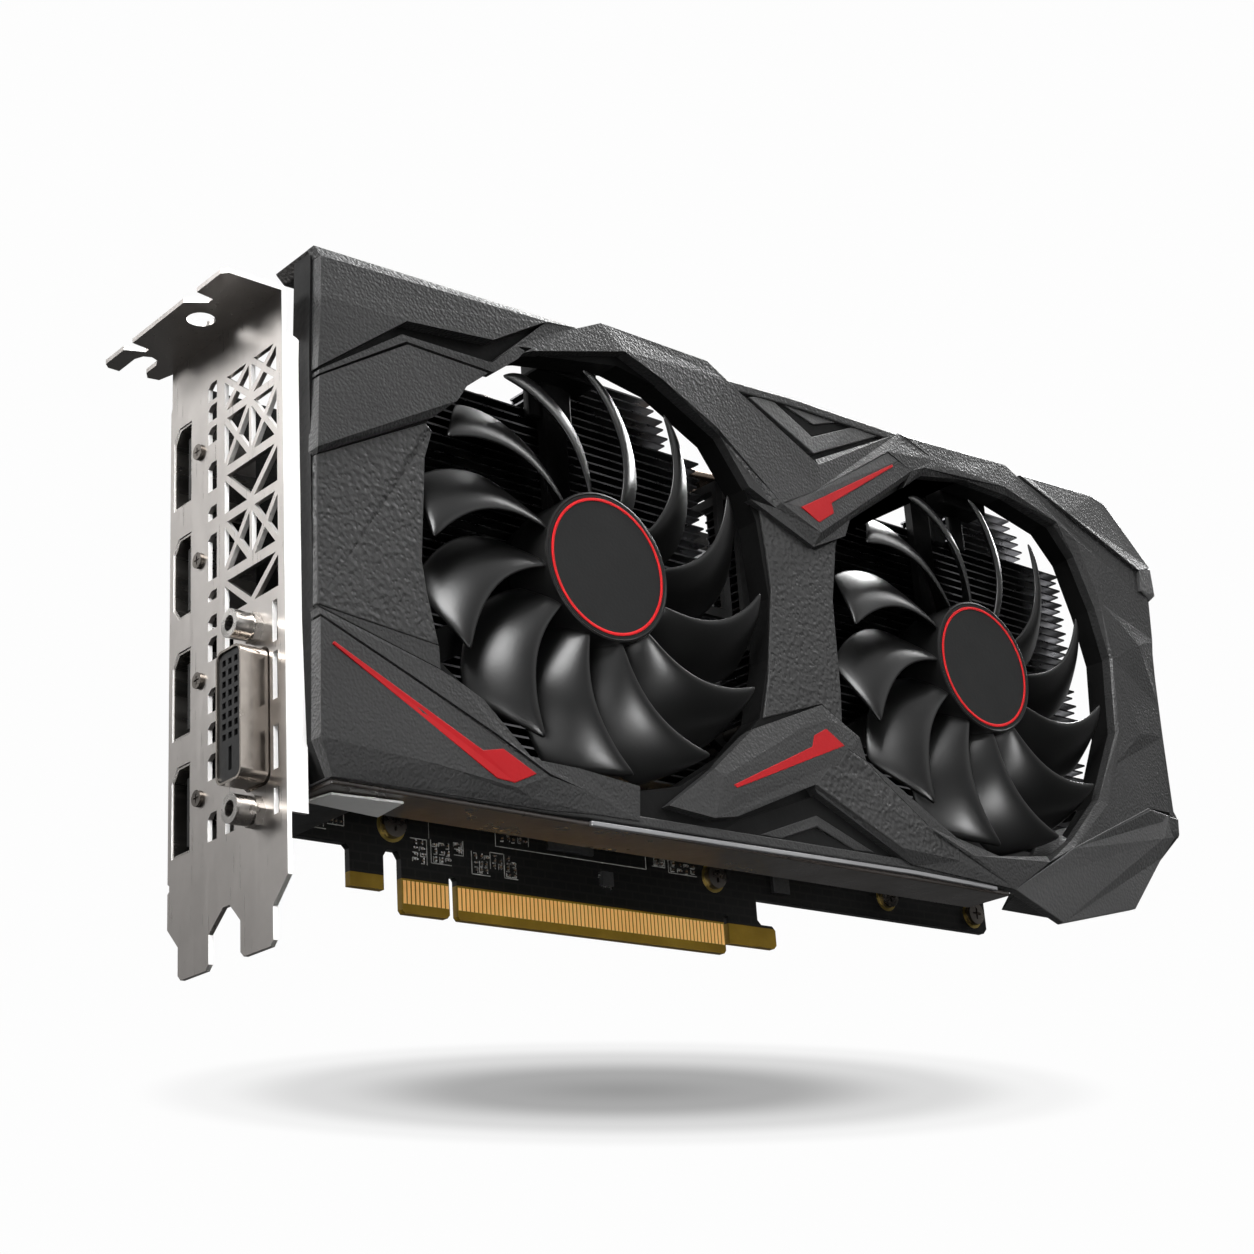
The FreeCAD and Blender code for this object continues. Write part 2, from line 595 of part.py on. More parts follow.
def centre_column():
    """Grained plate between the two fans."""
    outline = [(119.5, 41.0), (131.5, 41.8), (134.0, 39.2), (130.6, 50.0), (130.0, 62.0),
               (131.4, 76.0), (134.0, 82.4), (126.0, 81.8), (118.5, 83.2), (114.0, 84.6),
               (115.2, 76.0), (116.6, 62.0), (115.2, 48.0), (112.0, 39.2)]
    return plate_xz(outline, FRONT - 0.6, FRONT)


def top_bridge():
    """Raised V between the fans at the top, with a layered chevron inset."""
    outline = [(92.0, 103.2), (104.0, 96.6), (118.0, 84.4), (126.0, 83.0), (140.0, 88.4),
               (158.0, 101.0), (166.0, 105.6), (164.0, 112.4), (125.4, 111.6), (105.2, 111.2),
               (98.0, 113.4), (88.0, 113.6)]
    inset = [(108.0, 108.6), (124.0, 97.0), (150.0, 108.8)]
    plate = plate_xz(outline, RAISED, FRONT)
    return plate.cut(plate_xz(inset, RAISED - 1, RAISED + 0.8))


def bottom_bridge():
    """Raised V between the fans at the bottom, mirrored from the top one."""
    outline = [(80.0, 11.0), (92.0, 19.4), (110.0, 30.0), (121.0, 39.0), (131.0, 40.0),
               (139.0, 31.0), (152.0, 21.6), (165.0, 12.0)]
    inset = [(128.0, 13.0), (136.0, 21.0), (150.0, 13.0)]
    plate = plate_xz(outline, RAISED, FRONT)
    return plate.cut(plate_xz(inset, RAISED - 1, RAISED + 0.8))


def top_right_cover():
    """Paler plate over the top right corner, with a small end cap."""
    outline = [(206.0, 112.9), (229.3, 113.8), (236.8, 111.6), (249.2, 98.8), (249.2, 91.0),
               (245.0, 92.0), (241.0, 97.6)]
    return plate_xz(outline, RAISED, FRONT)


def bottom_right_cover():
    """Faceted guard over the bottom right corner."""
    outline = [(185.0, 11.2), (195.7, 8.6), (222.0, 10.8), (239.2, 25.2), (243.8, 31.4),
               (243.8, 38.0), (238.0, 38.4), (226.0, 24.4), (206.0, 15.4)]
    return plate_xz(outline, RAISED, FRONT)


def trim_left():
    """Long red stripe at the lower left that widens into an arrow head."""
    outline = [(6.2, 43.4), (27.6, 28.4), (36.0, 21.6), (43.2, 21.8), (49.6, 16.8), (42.6, 14.4),
               (37.0, 15.0), (8.6, 40.4)]
    return plate_xz(outline, FRONT - 0.5, FRONT)


def trim_top():
    outline = [(124.0, 88.6), (128.0, 85.4), (132.0, 86.8), (132.8, 89.4), (152.0, 100.2),
               (151.0, 101.2), (128.0, 90.6)]
    return plate_xz(outline, RAISED - 0.4, RAISED)


def trim_bottom():
    outline = [(103.6, 22.2), (104.6, 20.6), (122.0, 28.0), (124.4, 26.6), (131.6, 27.0),
               (132.6, 33.0), (127.2, 31.6)]
    return plate_xz(outline, RAISED - 0.4, RAISED)


def lower_lip():
    """Bright metal strip under the shroud's lower wall."""
    strip = box(62.0, 176.0, -39.0, -28.0, 8.8, 10.0)
    front = [e for e in strip.Edges
             if e.Length > 100 and e.BoundBox.YMax < -38 and e.BoundBox.ZMax < 9]
    return strip.makeChamfer(0.8, front)


# ---- fans ----
def fan_holder(side):
    """Motor seat with three arms whose ears are screwed to the shroud."""
    cx = FAN_X[side]
    pieces = [cyl(AXIS_Y, (cx, -26.6, FAN_Z), 14.6, 2.0), cyl(AXIS_Y, (cx, -36.4, FAN_Z), 5.0, 11.0)]
    cuts = [cyl(AXIS_Y, (cx, -37, FAN_Z), 3.2, 12.0)]
    for angle, (ex, ez) in zip(HOLDER_ARMS, ear_positions(side)):
        arm = box(12.0, EAR_R, -26.6, -24.6, -3.0, 3.0)
        arm.rotate(V(0, 0, 0), AXIS_Y, -angle)
        arm.translate(V(cx, 0, FAN_Z))
        pieces.append(arm)
        pieces.append(cyl(AXIS_Y, (ex, -26.6, ez), 3.0, 2.0))
        cuts.append(cyl(AXIS_Y, (ex, -27, ez), 1.3, 4.0))
    return union(pieces).cut(group(cuts))


def holder_screws():
    screws = []
    for x, z in HOLDER_EARS:
        head = cyl(AXIS_Y, (x, -24.6, z), 2.3, 0.6)
        shank = cyl(AXIS_Y, (x, -30.6, z), 1.1, 6.0)
        screws.append(union([head, shank]))
    return group(screws)


def motor_stators():
    """Wound cores pressed on the holders' tubes: six teeth round a ring."""
    cores = []
    for cx in FAN_X.values():
        ring = cyl(AXIS_Y, (cx, -35.6, FAN_Z), 6.6, 6.4)
        teeth = []
        for k in range(6):
            tooth = box(5.5, 11.0, -34.6, -30.2, -1.6, 1.6)
            shoe = box(10.4, 11.4, -35.0, -29.8, -3.6, 3.6)
            for piece in (tooth, shoe):
                piece.rotate(V(0, 0, 0), AXIS_Y, 60 * k)
                piece.translate(V(cx, 0, FAN_Z))
                teeth.append(piece)
        cores.append(union([ring] + teeth).cut(cyl(AXIS_Y, (cx, -37, FAN_Z), 5.0, 10)))
    return group(cores)


def bearing_sleeves():
    sleeves = []
    for cx in FAN_X.values():
        outer = cyl(AXIS_Y, (cx, -36.4, FAN_Z), 3.2, 11.0)
        sleeves.append(outer.cut(cyl(AXIS_Y, (cx, -37, FAN_Z), SHAFT_R + SHAFT_CLEARANCE, 12)))
    return group(sleeves)


# one blade: radius, sweep of the leading edge (deg), front y, rear y, chord (mm), thickness
BLADE_SECTIONS = (
    (14.5, 0.0, -39.0, -29.2, 8.0, 1.5),
    (21.4, 2.0, -39.2, -28.8, 12.0, 1.4),
    (29.0, 7.5, -39.3, -28.2, 16.0, 1.2),
    (35.6, 15.0, -39.4, -28.0, 18.5, 1.0),
    (40.8, 22.0, -39.4, -27.8, 19.5, 0.8),
)


def blade_wire(r, sweep, y0, y1, chord, thick):
    """Closed cambered section in the plane that touches radius r at mid-chord."""
    mid = math.radians(sweep) - chord / 2 / r
    out = V(math.cos(mid), 0, math.sin(mid))
    along = V(-math.sin(mid), 0, math.cos(mid))
    outline = []
    for side in (1, -1):
        for t in (0.0, 0.35, 0.7, 1.0)[::side]:
            camber = 0.16 * chord * math.sin(math.pi * t)
            half = thick / 2 * (0.45 + 0.55 * math.sin(math.pi * (0.1 + 0.8 * t))) * side * 0.7
            shift = chord * (0.5 - t) + camber * 0.6 - half
            depth = y0 + (y1 - y0) * t + camber * 0.8 - half
            outline.append(out * r + along * shift + V(0, depth, 0))
    return Part.makePolygon(outline + outline[:1])


def rotor(side):
    """Hub cup with swept blades, turning counter-clockwise seen from the front."""
    cx = FAN_X[side]
    cup = cyl(AXIS_Y, (0, HUB_FACE, 0), HUB_R, 11.1)
    rim = cyl(AXIS_Y, (0, HUB_FACE - 0.5, 0), HUB_R, 0.6)
    seat = cyl(AXIS_Y, (0, HUB_FACE - 0.6, 0), 14.7, 0.6)
    hollow = cyl(AXIS_Y, (0, HUB_FACE + 1.6, 0), 14.2, 12.0)
    boss = cyl(AXIS_Y, (0, HUB_FACE + 1.5, 0), 2.6, 1.1)
    blade = Part.makeLoft([blade_wire(*s) for s in BLADE_SECTIONS], True, False)
    blades = []
    for k in range(BLADES):
        copy = blade.copy()
        copy.rotate(V(0, 0, 0), AXIS_Y, -(BLADE_START[side] + 360.0 / BLADES * k))
        blades.append(copy)
    shell = union([cup, rim]).cut(seat).cut(hollow)
    whole = shell.multiFuse(blades + [boss]).cut(cyl(AXIS_Y, (0, HUB_FACE + 0.6, 0), SHAFT_R, 4))
    whole.translate(V(cx, 0, FAN_Z))
    return whole


def fan_shaft(side):
    return cyl(AXIS_Y, (FAN_X[side], HUB_FACE + 0.6, FAN_Z), SHAFT_R, 12.2)


def magnet_ring(side):
    ring = cyl(AXIS_Y, (FAN_X[side], -37.0, FAN_Z), 14.2, 8.4)
    return ring.cut(cyl(AXIS_Y, (FAN_X[side], -38, FAN_Z), 12.5, 11))


def hub_badge(side):
    """Disc pressed into the hub's face, with a shallow ring groove near its edge."""
    disc = cyl(AXIS_Y, (FAN_X[side], HUB_FACE - 0.5, FAN_Z), 14.7, 0.5)
    groove = cyl(AXIS_Y, (FAN_X[side], HUB_FACE - 0.6, FAN_Z), 14.2, 0.2)
    core = cyl(AXIS_Y, (FAN_X[side], HUB_FACE - 0.7, FAN_Z), 13.5, 0.5)
    return disc.cut(groove.cut(core))


def fan_leads():
    """Flat motor leads, held between the fin stacks on their way to the header."""
    x = LEAD_X["left"]
    left = [box(FAN_X["left"] + 14.7, x + 2.0, -26.4, -25.2, 64.2, 66.2),
            box(x, x + 2.0, -26.4, -25.2, 64.2, 96.0), box(x, x + 2.0, -25.3, -3.6, 94.0, 96.0)]
    x = LEAD_X["right"]
    right = [box(x, FAN_X["right"] - 14.7, -26.4, -25.2, 58.2, 60.2),
             box(x, x + 2.0, -26.4, -25.2, 58.2, 96.0), box(x, x + 2.0, -25.3, -3.6, 94.0, 96.0)]
    return group([union(left), union(right)])


def fan_header():
    sockets = [box(x, x + 2.0, -6, -3.6, 94.0, 96.0) for x in LEAD_X.values()]
    return box(113.4, 122.9, -5.0, 0, 92.5, 97.5).cut(group(sockets))


def main():
    os.makedirs("parts", exist_ok=True)
    export("io_bracket", io_bracket())
    export("port_screws", port_screws())
    screw_of = dict(zip(("dp_1", "hdmi", "dp_2", "dp_3"), PORT_SCREW_Z))
    for name in PORTS:
        export(name + "_shell", port_shell(name, screw_of[name]))
        export(name + "_core", port_core(name))
    export("dvi_shell", dvi_shell())
    export("dvi_housing", dvi_housing())
    export("jack_posts", jack_posts())
    export("board", board())
    export("edge_contacts", edge_contacts())
    export("board_screws", board_screws())
    export("gpu_substrate", gpu_substrate())
    export("gpu_die", gpu_die())
    export("memory_chips", memory_chips())
    export("thermal_pads", thermal_pads())
    export("chokes", chokes())
    export("mosfets", mosfets())
    export("capacitors", capacitors())
    export("small_parts", small_parts())
    export("power_inlet", power_inlet())
    export("power_pins", power_pins())
    export("heat_pipes", group(pipes()))
    export("heatsink_base", heatsink_base())
    export("fins_left", fins_left())
    export("fins_right", fins_right())
    export("retention_plate", retention_plate())
    export("cooler_screws", cooler_screws())
    export("shroud_frame", shroud_frame())
    export("left_panel", left_panel())
    export("top_left_panel", top_left_panel())
    export("centre_column", centre_column())
    export("top_bridge", top_bridge())
    export("bottom_bridge", bottom_bridge())
    export("top_right_cover", top_right_cover())
    export("bottom_right_cover", bottom_right_cover())
    export("trim_left", trim_left())
    export("trim_top", trim_top())
    export("trim_bottom", trim_bottom())
    export("lower_lip", lower_lip())
    export("holder_screws", holder_screws())
    export("motor_stators", motor_stators())
    export("bearing_sleeves", bearing_sleeves())
    export("fan_leads", fan_leads())
    export("fan_header", fan_header())
    for side in FAN_X:
        export("fan_holder_" + side, fan_holder(side))
        export("rotor_" + side, rotor(side))
        export("shaft_" + side, fan_shaft(side))
        export("magnet_" + side, magnet_ring(side))
        export("badge_" + side, hub_badge(side))


main()
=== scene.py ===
import math
import random

import bmesh
import bpy
from mathutils import Matrix, Vector

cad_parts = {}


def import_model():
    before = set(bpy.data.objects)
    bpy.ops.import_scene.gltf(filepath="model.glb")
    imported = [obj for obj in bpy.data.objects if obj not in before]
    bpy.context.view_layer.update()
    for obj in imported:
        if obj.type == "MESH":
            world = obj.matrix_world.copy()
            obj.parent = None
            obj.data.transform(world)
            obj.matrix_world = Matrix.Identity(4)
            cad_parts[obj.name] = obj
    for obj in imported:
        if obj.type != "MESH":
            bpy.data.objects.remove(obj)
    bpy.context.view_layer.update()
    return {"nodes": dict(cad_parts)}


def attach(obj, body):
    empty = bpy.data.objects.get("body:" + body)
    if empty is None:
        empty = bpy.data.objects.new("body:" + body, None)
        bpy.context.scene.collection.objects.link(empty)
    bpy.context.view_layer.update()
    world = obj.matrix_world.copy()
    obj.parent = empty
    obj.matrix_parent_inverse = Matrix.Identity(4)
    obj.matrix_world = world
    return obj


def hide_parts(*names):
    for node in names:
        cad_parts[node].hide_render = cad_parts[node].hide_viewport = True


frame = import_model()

# The frame's nodes, by name.
nodes = frame["nodes"]

# Shapes below are written in millimetres with X measured from the bracket's outer face.
KEY_X = 60.15               # the frame's origin, in the middle of the key notch
FAN_AXES = {"left": (70.17, 61.65), "right": (181.15, 61.65)}
BLADES = 12
BLADE_START = {"left": 10.9, "right": 3.9}   # first blade's leading root, from +X (deg)
BLADE_TIP_R = 41.9
WALL_FRONT = -39.6          # front of the shroud's outer wall
BASE_FRONT = -38.4          # plate behind the facets
SKIN_BACK = BASE_FRONT + 0.4   # the facets' turned edges end inside that plate
DUCT_BACK = -33.0           # rear of that plate, round the fans
WALL_BACK = -27.2           # rear of the shroud's outer wall
WALL_T = 2.0


def at(x, y, z):
    """Point in the frame, in metres, from millimetres measured off the bracket."""
    return Vector(((x - KEY_X) / 1000, y / 1000, z / 1000))


# ---- materials ----
MASK_LOW = 0.0068           # the board is bare laminate below this height (m)
TONE_STEP = 0.00005         # half the height over which one coating gives way to another (m)


def new_material(name):
    """Empty node material, its tree and its shader."""
    mat = bpy.data.materials.new(name)
    mat.use_nodes = True
    tree = mat.node_tree
    return mat, tree, tree.nodes["Principled BSDF"]


def add(tree, kind, **values):
    """New node, with its inputs or its settings filled in by name."""
    node = tree.nodes.new(kind)
    for key, value in values.items():
        if key in node.inputs:
            node.inputs[key].default_value = value
        else:
            setattr(node, key, value)
    return node


def ramp(tree, source, stops):
    """Colour ramp fed by a value; each stop is a place and a colour."""
    node = tree.nodes.new("ShaderNodeValToRGB")
    tree.links.new(source, node.inputs[0])
    while len(node.color_ramp.elements) < len(stops):
        node.color_ramp.elements.new(0.5)
    for element, (place, colour) in zip(node.color_ramp.elements, stops):
        element.position = place
        element.color = colour if len(colour) == 4 else (*colour, 1)
    return node


def object_coords(tree, stretch=(1, 1, 1)):
    """The piece's own coordinates in metres, stretched if asked."""
    coords = add(tree, "ShaderNodeTexCoord")
    mapping = add(tree, "ShaderNodeMapping", Scale=stretch)
    tree.links.new(coords.outputs["Object"], mapping.inputs["Vector"])
    return mapping.outputs["Vector"]


def noise(tree, coords, scale, detail=4.0, rough=0.55):
    """Cloudy value between 0 and 1."""
    node = add(tree, "ShaderNodeTexNoise", Scale=scale, Detail=detail, Roughness=rough)
    tree.links.new(coords, node.inputs["Vector"])
    return node.outputs["Fac"]


def height_split(tree, low_tone, high_tone, level, coords):
    """Colour that changes at a height, such as where a coating stops."""
    parts = add(tree, "ShaderNodeSeparateXYZ")
    tree.links.new(coords, parts.inputs[0])
    step = add(tree, "ShaderNodeMapRange")
    step.inputs["From Min"].default_value = level - TONE_STEP
    step.inputs["From Max"].default_value = level + TONE_STEP
    tree.links.new(parts.outputs["Z"], step.inputs["Value"])
    mix = add(tree, "ShaderNodeMix", data_type="RGBA")
    tree.links.new(step.outputs["Result"], mix.inputs["Factor"])
    tree.links.new(low_tone, mix.inputs["A"])
    tree.links.new(high_tone, mix.inputs["B"])
    return mix.outputs["Result"]


def bump(tree, bsdf, height, strength, distance, chain=None):
    """Bump from a height value, on top of an earlier bump if one is given."""
    node = add(tree, "ShaderNodeBump", Strength=strength, Distance=distance)
    tree.links.new(height, node.inputs["Height"])
    if chain is not None:
        tree.links.new(chain, node.inputs["Normal"])
    tree.links.new(node.outputs["Normal"], bsdf.inputs["Normal"])
    return node.outputs["Normal"]


def grey(v):
    """Neutral colour of one brightness."""
    return (v, v, v)


def plastic(name, dark, light, rough, grain_scale, grain, spread=0.10, spec=0.5):
    """Moulded plastic: spark-eroded grain, cloudy colour and uneven gloss."""
    mat, tree, bsdf = new_material(name)
    coords = object_coords(tree)
    cloud = noise(tree, coords, 38.0, 5.0, 0.6)
    colour = ramp(tree, cloud, [(0.30, dark), (0.72, light)])
    bsdf.inputs["Specular IOR Level"].default_value = spec
    gloss = ramp(tree, noise(tree, coords, 120.0, 3.0),
                 [(0.25, grey(rough - spread)), (0.75, grey(rough + spread))])
    tree.links.new(gloss.outputs["Color"], bsdf.inputs["Roughness"])
    chain = None
    if grain:
        cells = add(tree, "ShaderNodeTexVoronoi", Scale=grain_scale, feature="SMOOTH_F1")
        warp = add(tree, "ShaderNodeVectorMath", operation="MULTIPLY_ADD")
        wobble = add(tree, "ShaderNodeTexNoise", Scale=grain_scale * 0.5, Detail=2.0)
        tree.links.new(coords, wobble.inputs["Vector"])
        tree.links.new(wobble.outputs["Color"], warp.inputs[0])
        warp.inputs[1].default_value = (0.9 / grain_scale,) * 3
        tree.links.new(coords, warp.inputs[2])
        tree.links.new(warp.outputs["Vector"], cells.inputs["Vector"])
        chain = bump(tree, bsdf, cells.outputs["Distance"], grain, 0.00035)
    chain = bump(tree, bsdf, noise(tree, coords, 2600.0, 2.0), 0.28 if grain > 0.2 else 0.08,
                 0.0001, chain)
    tree.links.new(colour.outputs["Color"], bsdf.inputs["Base Color"])
    return mat


def paint_front_highlight(tree, bsdf, colour):
    """Painted highlight: the faces turned to the fan side, the folded flange and the cut edges, are
    painted near white and made almost non-metallic.
    """
    coords = add(tree, "ShaderNodeTexCoord")
    parts = add(tree, "ShaderNodeSeparateXYZ")
    tree.links.new(coords.outputs["Normal"], parts.inputs[0])
    front = add(tree, "ShaderNodeMapRange")
    front.inputs["From Min"].default_value = -0.6
    front.inputs["From Max"].default_value = -0.9
    tree.links.new(parts.outputs["Y"], front.inputs["Value"])
    mix = add(tree, "ShaderNodeMix", data_type="RGBA")
    tree.links.new(front.outputs["Result"], mix.inputs["Factor"])
    tree.links.new(colour, mix.inputs["A"])
    mix.inputs["B"].default_value = (1.0, 0.99, 0.98, 1)
    tree.links.new(mix.outputs["Result"], bsdf.inputs["Base Color"])
    highlight_metallic = add(tree, "ShaderNodeMapRange")
    highlight_metallic.inputs["To Min"].default_value = 1.0
    highlight_metallic.inputs["To Max"].default_value = 0.05
    tree.links.new(front.outputs["Result"], highlight_metallic.inputs["Value"])
    tree.links.new(highlight_metallic.outputs["Result"], bsdf.inputs["Metallic"])


def metal(name, dark, light, rough, brush=(1, 1, 1), scratch=0.12, scale=300.0, spread=0.08,
          metallic=1.0, painted_front_highlight=False):
    """Metal with a drawn or plated finish: streaks along the sheet and soft stains."""
    mat, tree, bsdf = new_material(name)
    bsdf.inputs["Metallic"].default_value = metallic
    coords = object_coords(tree)
    colour = ramp(tree, noise(tree, coords, 26.0, 6.0, 0.65), [(0.3, dark), (0.7, light)])
    tree.links.new(colour.outputs["Color"], bsdf.inputs["Base Color"])
    # Painted highlight: faces turned to the fan side are painted near white.
    if painted_front_highlight:
        paint_front_highlight(tree, bsdf, colour.outputs["Color"])
    streak = noise(tree, object_coords(tree, brush), scale, 3.0, 0.6)
    gloss = ramp(tree, streak, [(0.3, grey(rough - spread)), (0.7, grey(rough + spread))])
    tree.links.new(gloss.outputs["Color"], bsdf.inputs["Roughness"])
    bump(tree, bsdf, streak, scratch, 0.00006)
    return mat


def two_tone(name, base, other, scale, rough, low=0.45, high=0.55):
    """Surface with small patches of a second colour, such as solder or print."""
    mat, tree, bsdf = new_material(name)
    coords = object_coords(tree)
    field = noise(tree, coords, scale, 3.0)
    colour = ramp(tree, field, [(low, base), (high, other)])
    tree.links.new(colour.outputs["Color"], bsdf.inputs["Base Color"])
    gloss = ramp(tree, noise(tree, coords, scale * 2.3, 2.0),
                 [(0.3, grey(rough * 0.8)), (0.7, grey(min(1.0, rough * 1.25)))])
    tree.links.new(gloss.outputs["Color"], bsdf.inputs["Roughness"])
    bump(tree, bsdf, field, 0.1, 0.0001)
    return mat


def board_lacquer():
    """Black solder mask over faint stepped traces; bare olive laminate at the edge."""
    mat, tree, bsdf = new_material("solder_mask")
    coords = object_coords(tree)
    bricks = add(tree, "ShaderNodeTexBrick", Scale=140.0)
    bricks.inputs["Mortar Size"].default_value = 0.03
    bricks.inputs["Color1"].default_value = (0.0030, 0.0031, 0.0031, 1)
    bricks.inputs["Color2"].default_value = (0.0042, 0.0042, 0.0040, 1)
    bricks.inputs["Mortar"].default_value = (0.0075, 0.0072, 0.0065, 1)
    swap = add(tree, "ShaderNodeSeparateXYZ")
    join = add(tree, "ShaderNodeCombineXYZ")
    tree.links.new(coords, swap.inputs[0])
    tree.links.new(swap.outputs["X"], join.inputs["X"])
    tree.links.new(swap.outputs["Z"], join.inputs["Y"])
    tree.links.new(join.outputs[0], bricks.inputs["Vector"])
    bare = ramp(tree, noise(tree, coords, 150.0), [(0.3, (0.14, 0.085, 0.008)),
                                                   (0.7, (0.20, 0.125, 0.014))])
    colour = height_split(tree, bare.outputs["Color"], bricks.outputs["Color"], MASK_LOW, coords)
    tree.links.new(colour, bsdf.inputs["Base Color"])
    bsdf.inputs["Specular IOR Level"].default_value = 0.16
    gloss = ramp(tree, noise(tree, coords, 90.0), [(0.3, grey(0.34)), (0.7, grey(0.48))])
    tree.links.new(gloss.outputs["Color"], bsdf.inputs["Roughness"])
    bump(tree, bsdf, bricks.outputs["Fac"], 0.15, 0.00005)
    return mat


M = {
    # The bracket's front faces carry a painted highlight.
    "bracket": metal("bracket_nickel", (0.42, 0.395, 0.375), (0.56, 0.53, 0.505), 0.30,
                     (1, 1, 0.05), 0.006, 1500.0, 0.03, painted_front_highlight=True),
    "screw": metal("screw_nickel", (0.42, 0.40, 0.38), (0.6, 0.58, 0.55), 0.26),
    "port": metal("port_nickel", (0.34, 0.32, 0.30), (0.5, 0.48, 0.45), 0.28, (0.1, 1, 1)),
    "dvi": metal("dvi_nickel", (0.42, 0.38, 0.34), (0.56, 0.51, 0.46), 0.20),
    "insulator": plastic("black_insulator", grey(0.004), grey(0.008), 0.45, 900.0, 0.1,
                         spec=0.25),
    "board": board_lacquer(),
    "gold": metal("contact_gold", (0.95, 0.48, 0.13), (1.0, 0.60, 0.20), 0.42,
                  (1, 1, 0.1), 0.1, 1200.0, 0.1, 0.08),
    "steel": metal("dark_steel", (0.10, 0.09, 0.08), (0.22, 0.20, 0.18), 0.32),
    "olive": metal("bare_copper_edge", (0.30, 0.22, 0.06), (0.45, 0.34, 0.11), 0.38),
    "substrate": two_tone("green_substrate", (0.02, 0.06, 0.03), (0.03, 0.09, 0.045), 200, 0.4),
    "silicon": two_tone("silicon", (0.05, 0.05, 0.055), (0.08, 0.08, 0.09), 60, 0.15),
    "epoxy": two_tone("chip_epoxy", grey(0.010), grey(0.018), 800.0, 0.5, 0.3, 0.7),
    "pad": two_tone("thermal_pad", (0.26, 0.28, 0.33), (0.34, 0.36, 0.42), 400.0, 0.8, 0.3, 0.7),
    "choke": two_tone("choke_ferrite", grey(0.05), grey(0.09), 900.0, 0.6, 0.3, 0.7),
    "can": metal("can_aluminium", grey(0.55), grey(0.72), 0.3),
    "pipe": metal("pipe_nickel", (0.10, 0.075, 0.06), (0.18, 0.14, 0.11), 0.22),
    "alu": metal("machined_aluminium", grey(0.50), grey(0.66), 0.34, (1, 1, 0.08), 0.2),
    "fin": metal("fin_aluminium", (0.11, 0.11, 0.115), (0.20, 0.20, 0.205), 0.32),
    "spring": metal("spring_steel", grey(0.38), grey(0.52), 0.32),
    "skin": plastic("shroud_plastic", grey(0.017), grey(0.025), 0.45, 1700.0, 0.42, 0.07,
                    0.48),
    # Lighter, glossier edge look: a painted highlight on the shroud's rounded edges.
    "skin_edge": plastic("shroud_edge_highlight", grey(0.020), grey(0.034), 0.36, 1250.0, 0.2, 0.06,
                         0.55),
    "coarse": plastic("shroud_coarse_grain", grey(0.016), grey(0.025), 0.43, 1050.0, 1.0, 0.08,
                      0.50),
    "cover": plastic("shroud_cover", grey(0.032), grey(0.048), 0.42, 1500.0, 0.32, 0.06, 0.55),
    # Lighter, glossier edge look: a painted highlight on the covers' rounded edges.
    "cover_edge": plastic("cover_edge_highlight", grey(0.05), grey(0.08), 0.36, 1500.0, 0.2, 0.06,
                          0.6),
    # Near-black painted shade for the recessed inset floors.
    "groove": plastic("groove_painted_shade", grey(0.003), grey(0.006), 0.65, 900.0, 0.1, 0.1, 0.2),
    "duct": plastic("duct_black", grey(0.0022), grey(0.0042), 0.50, 900.0, 0.12, 0.08, 0.14),
    "red": plastic("red_trim", (0.32, 0.008, 0.011), (0.37, 0.011, 0.014), 0.40, 1400.0, 0.08,
                   0.05, 0.16),
    # Pale grey strip: painted highlight along the shroud's lower wall.
    "lip": metal("lip_painted_highlight", (0.34, 0.34, 0.35), (0.50, 0.50, 0.51), 0.42, (0.04, 1, 1),
                 0.25, 500.0, 0.12),
    "under": plastic("lip_underside", (0.024, 0.019, 0.016), (0.042, 0.034, 0.030), 0.30,
                     700.0, 0.06, 0.06, 0.7),
    "flap": metal("flap_zinc", (0.55, 0.55, 0.54), (0.75, 0.75, 0.73), 0.45, metallic=0.1),
    "copper": metal("motor_copper", (0.55, 0.23, 0.10), (0.75, 0.36, 0.18), 0.32),
    "brass": metal("bearing_brass", (0.55, 0.40, 0.16), (0.70, 0.52, 0.24), 0.3),
    "rubber": plastic("lead_rubber", grey(0.008), grey(0.014), 0.55, 900.0, 0.1),
    "fan": plastic("fan_plastic", grey(0.0034), grey(0.0050), 0.32, 1500.0, 0.02, 0.03, 0.46),
    "badge": plastic("badge_face", (0.0085, 0.0088, 0.0088), (0.0110, 0.0113, 0.0113), 0.55,
                     1600.0, 0.05, 0.05, 0.22),
    "ring": plastic("ring_red", (0.50, 0.009, 0.012), (0.57, 0.014, 0.017), 0.42, 1600.0, 0.05,
                    0.05, 0.2),
    "magnet": two_tone("magnet_ferrite", grey(0.03), grey(0.05), 500.0, 0.6, 0.3, 0.7),
    "print": two_tone("white_print", (0.16, 0.16, 0.15), (0.30, 0.30, 0.28), 900.0, 0.6, 0.3,
                      0.7),
    "solder": metal("solder", grey(0.55), grey(0.75), 0.25),
    "ceramic": two_tone("capacitor_ceramic", (0.035, 0.022, 0.013), (0.13, 0.075, 0.035),
                        300.0, 0.4, 0.35, 0.65),
}

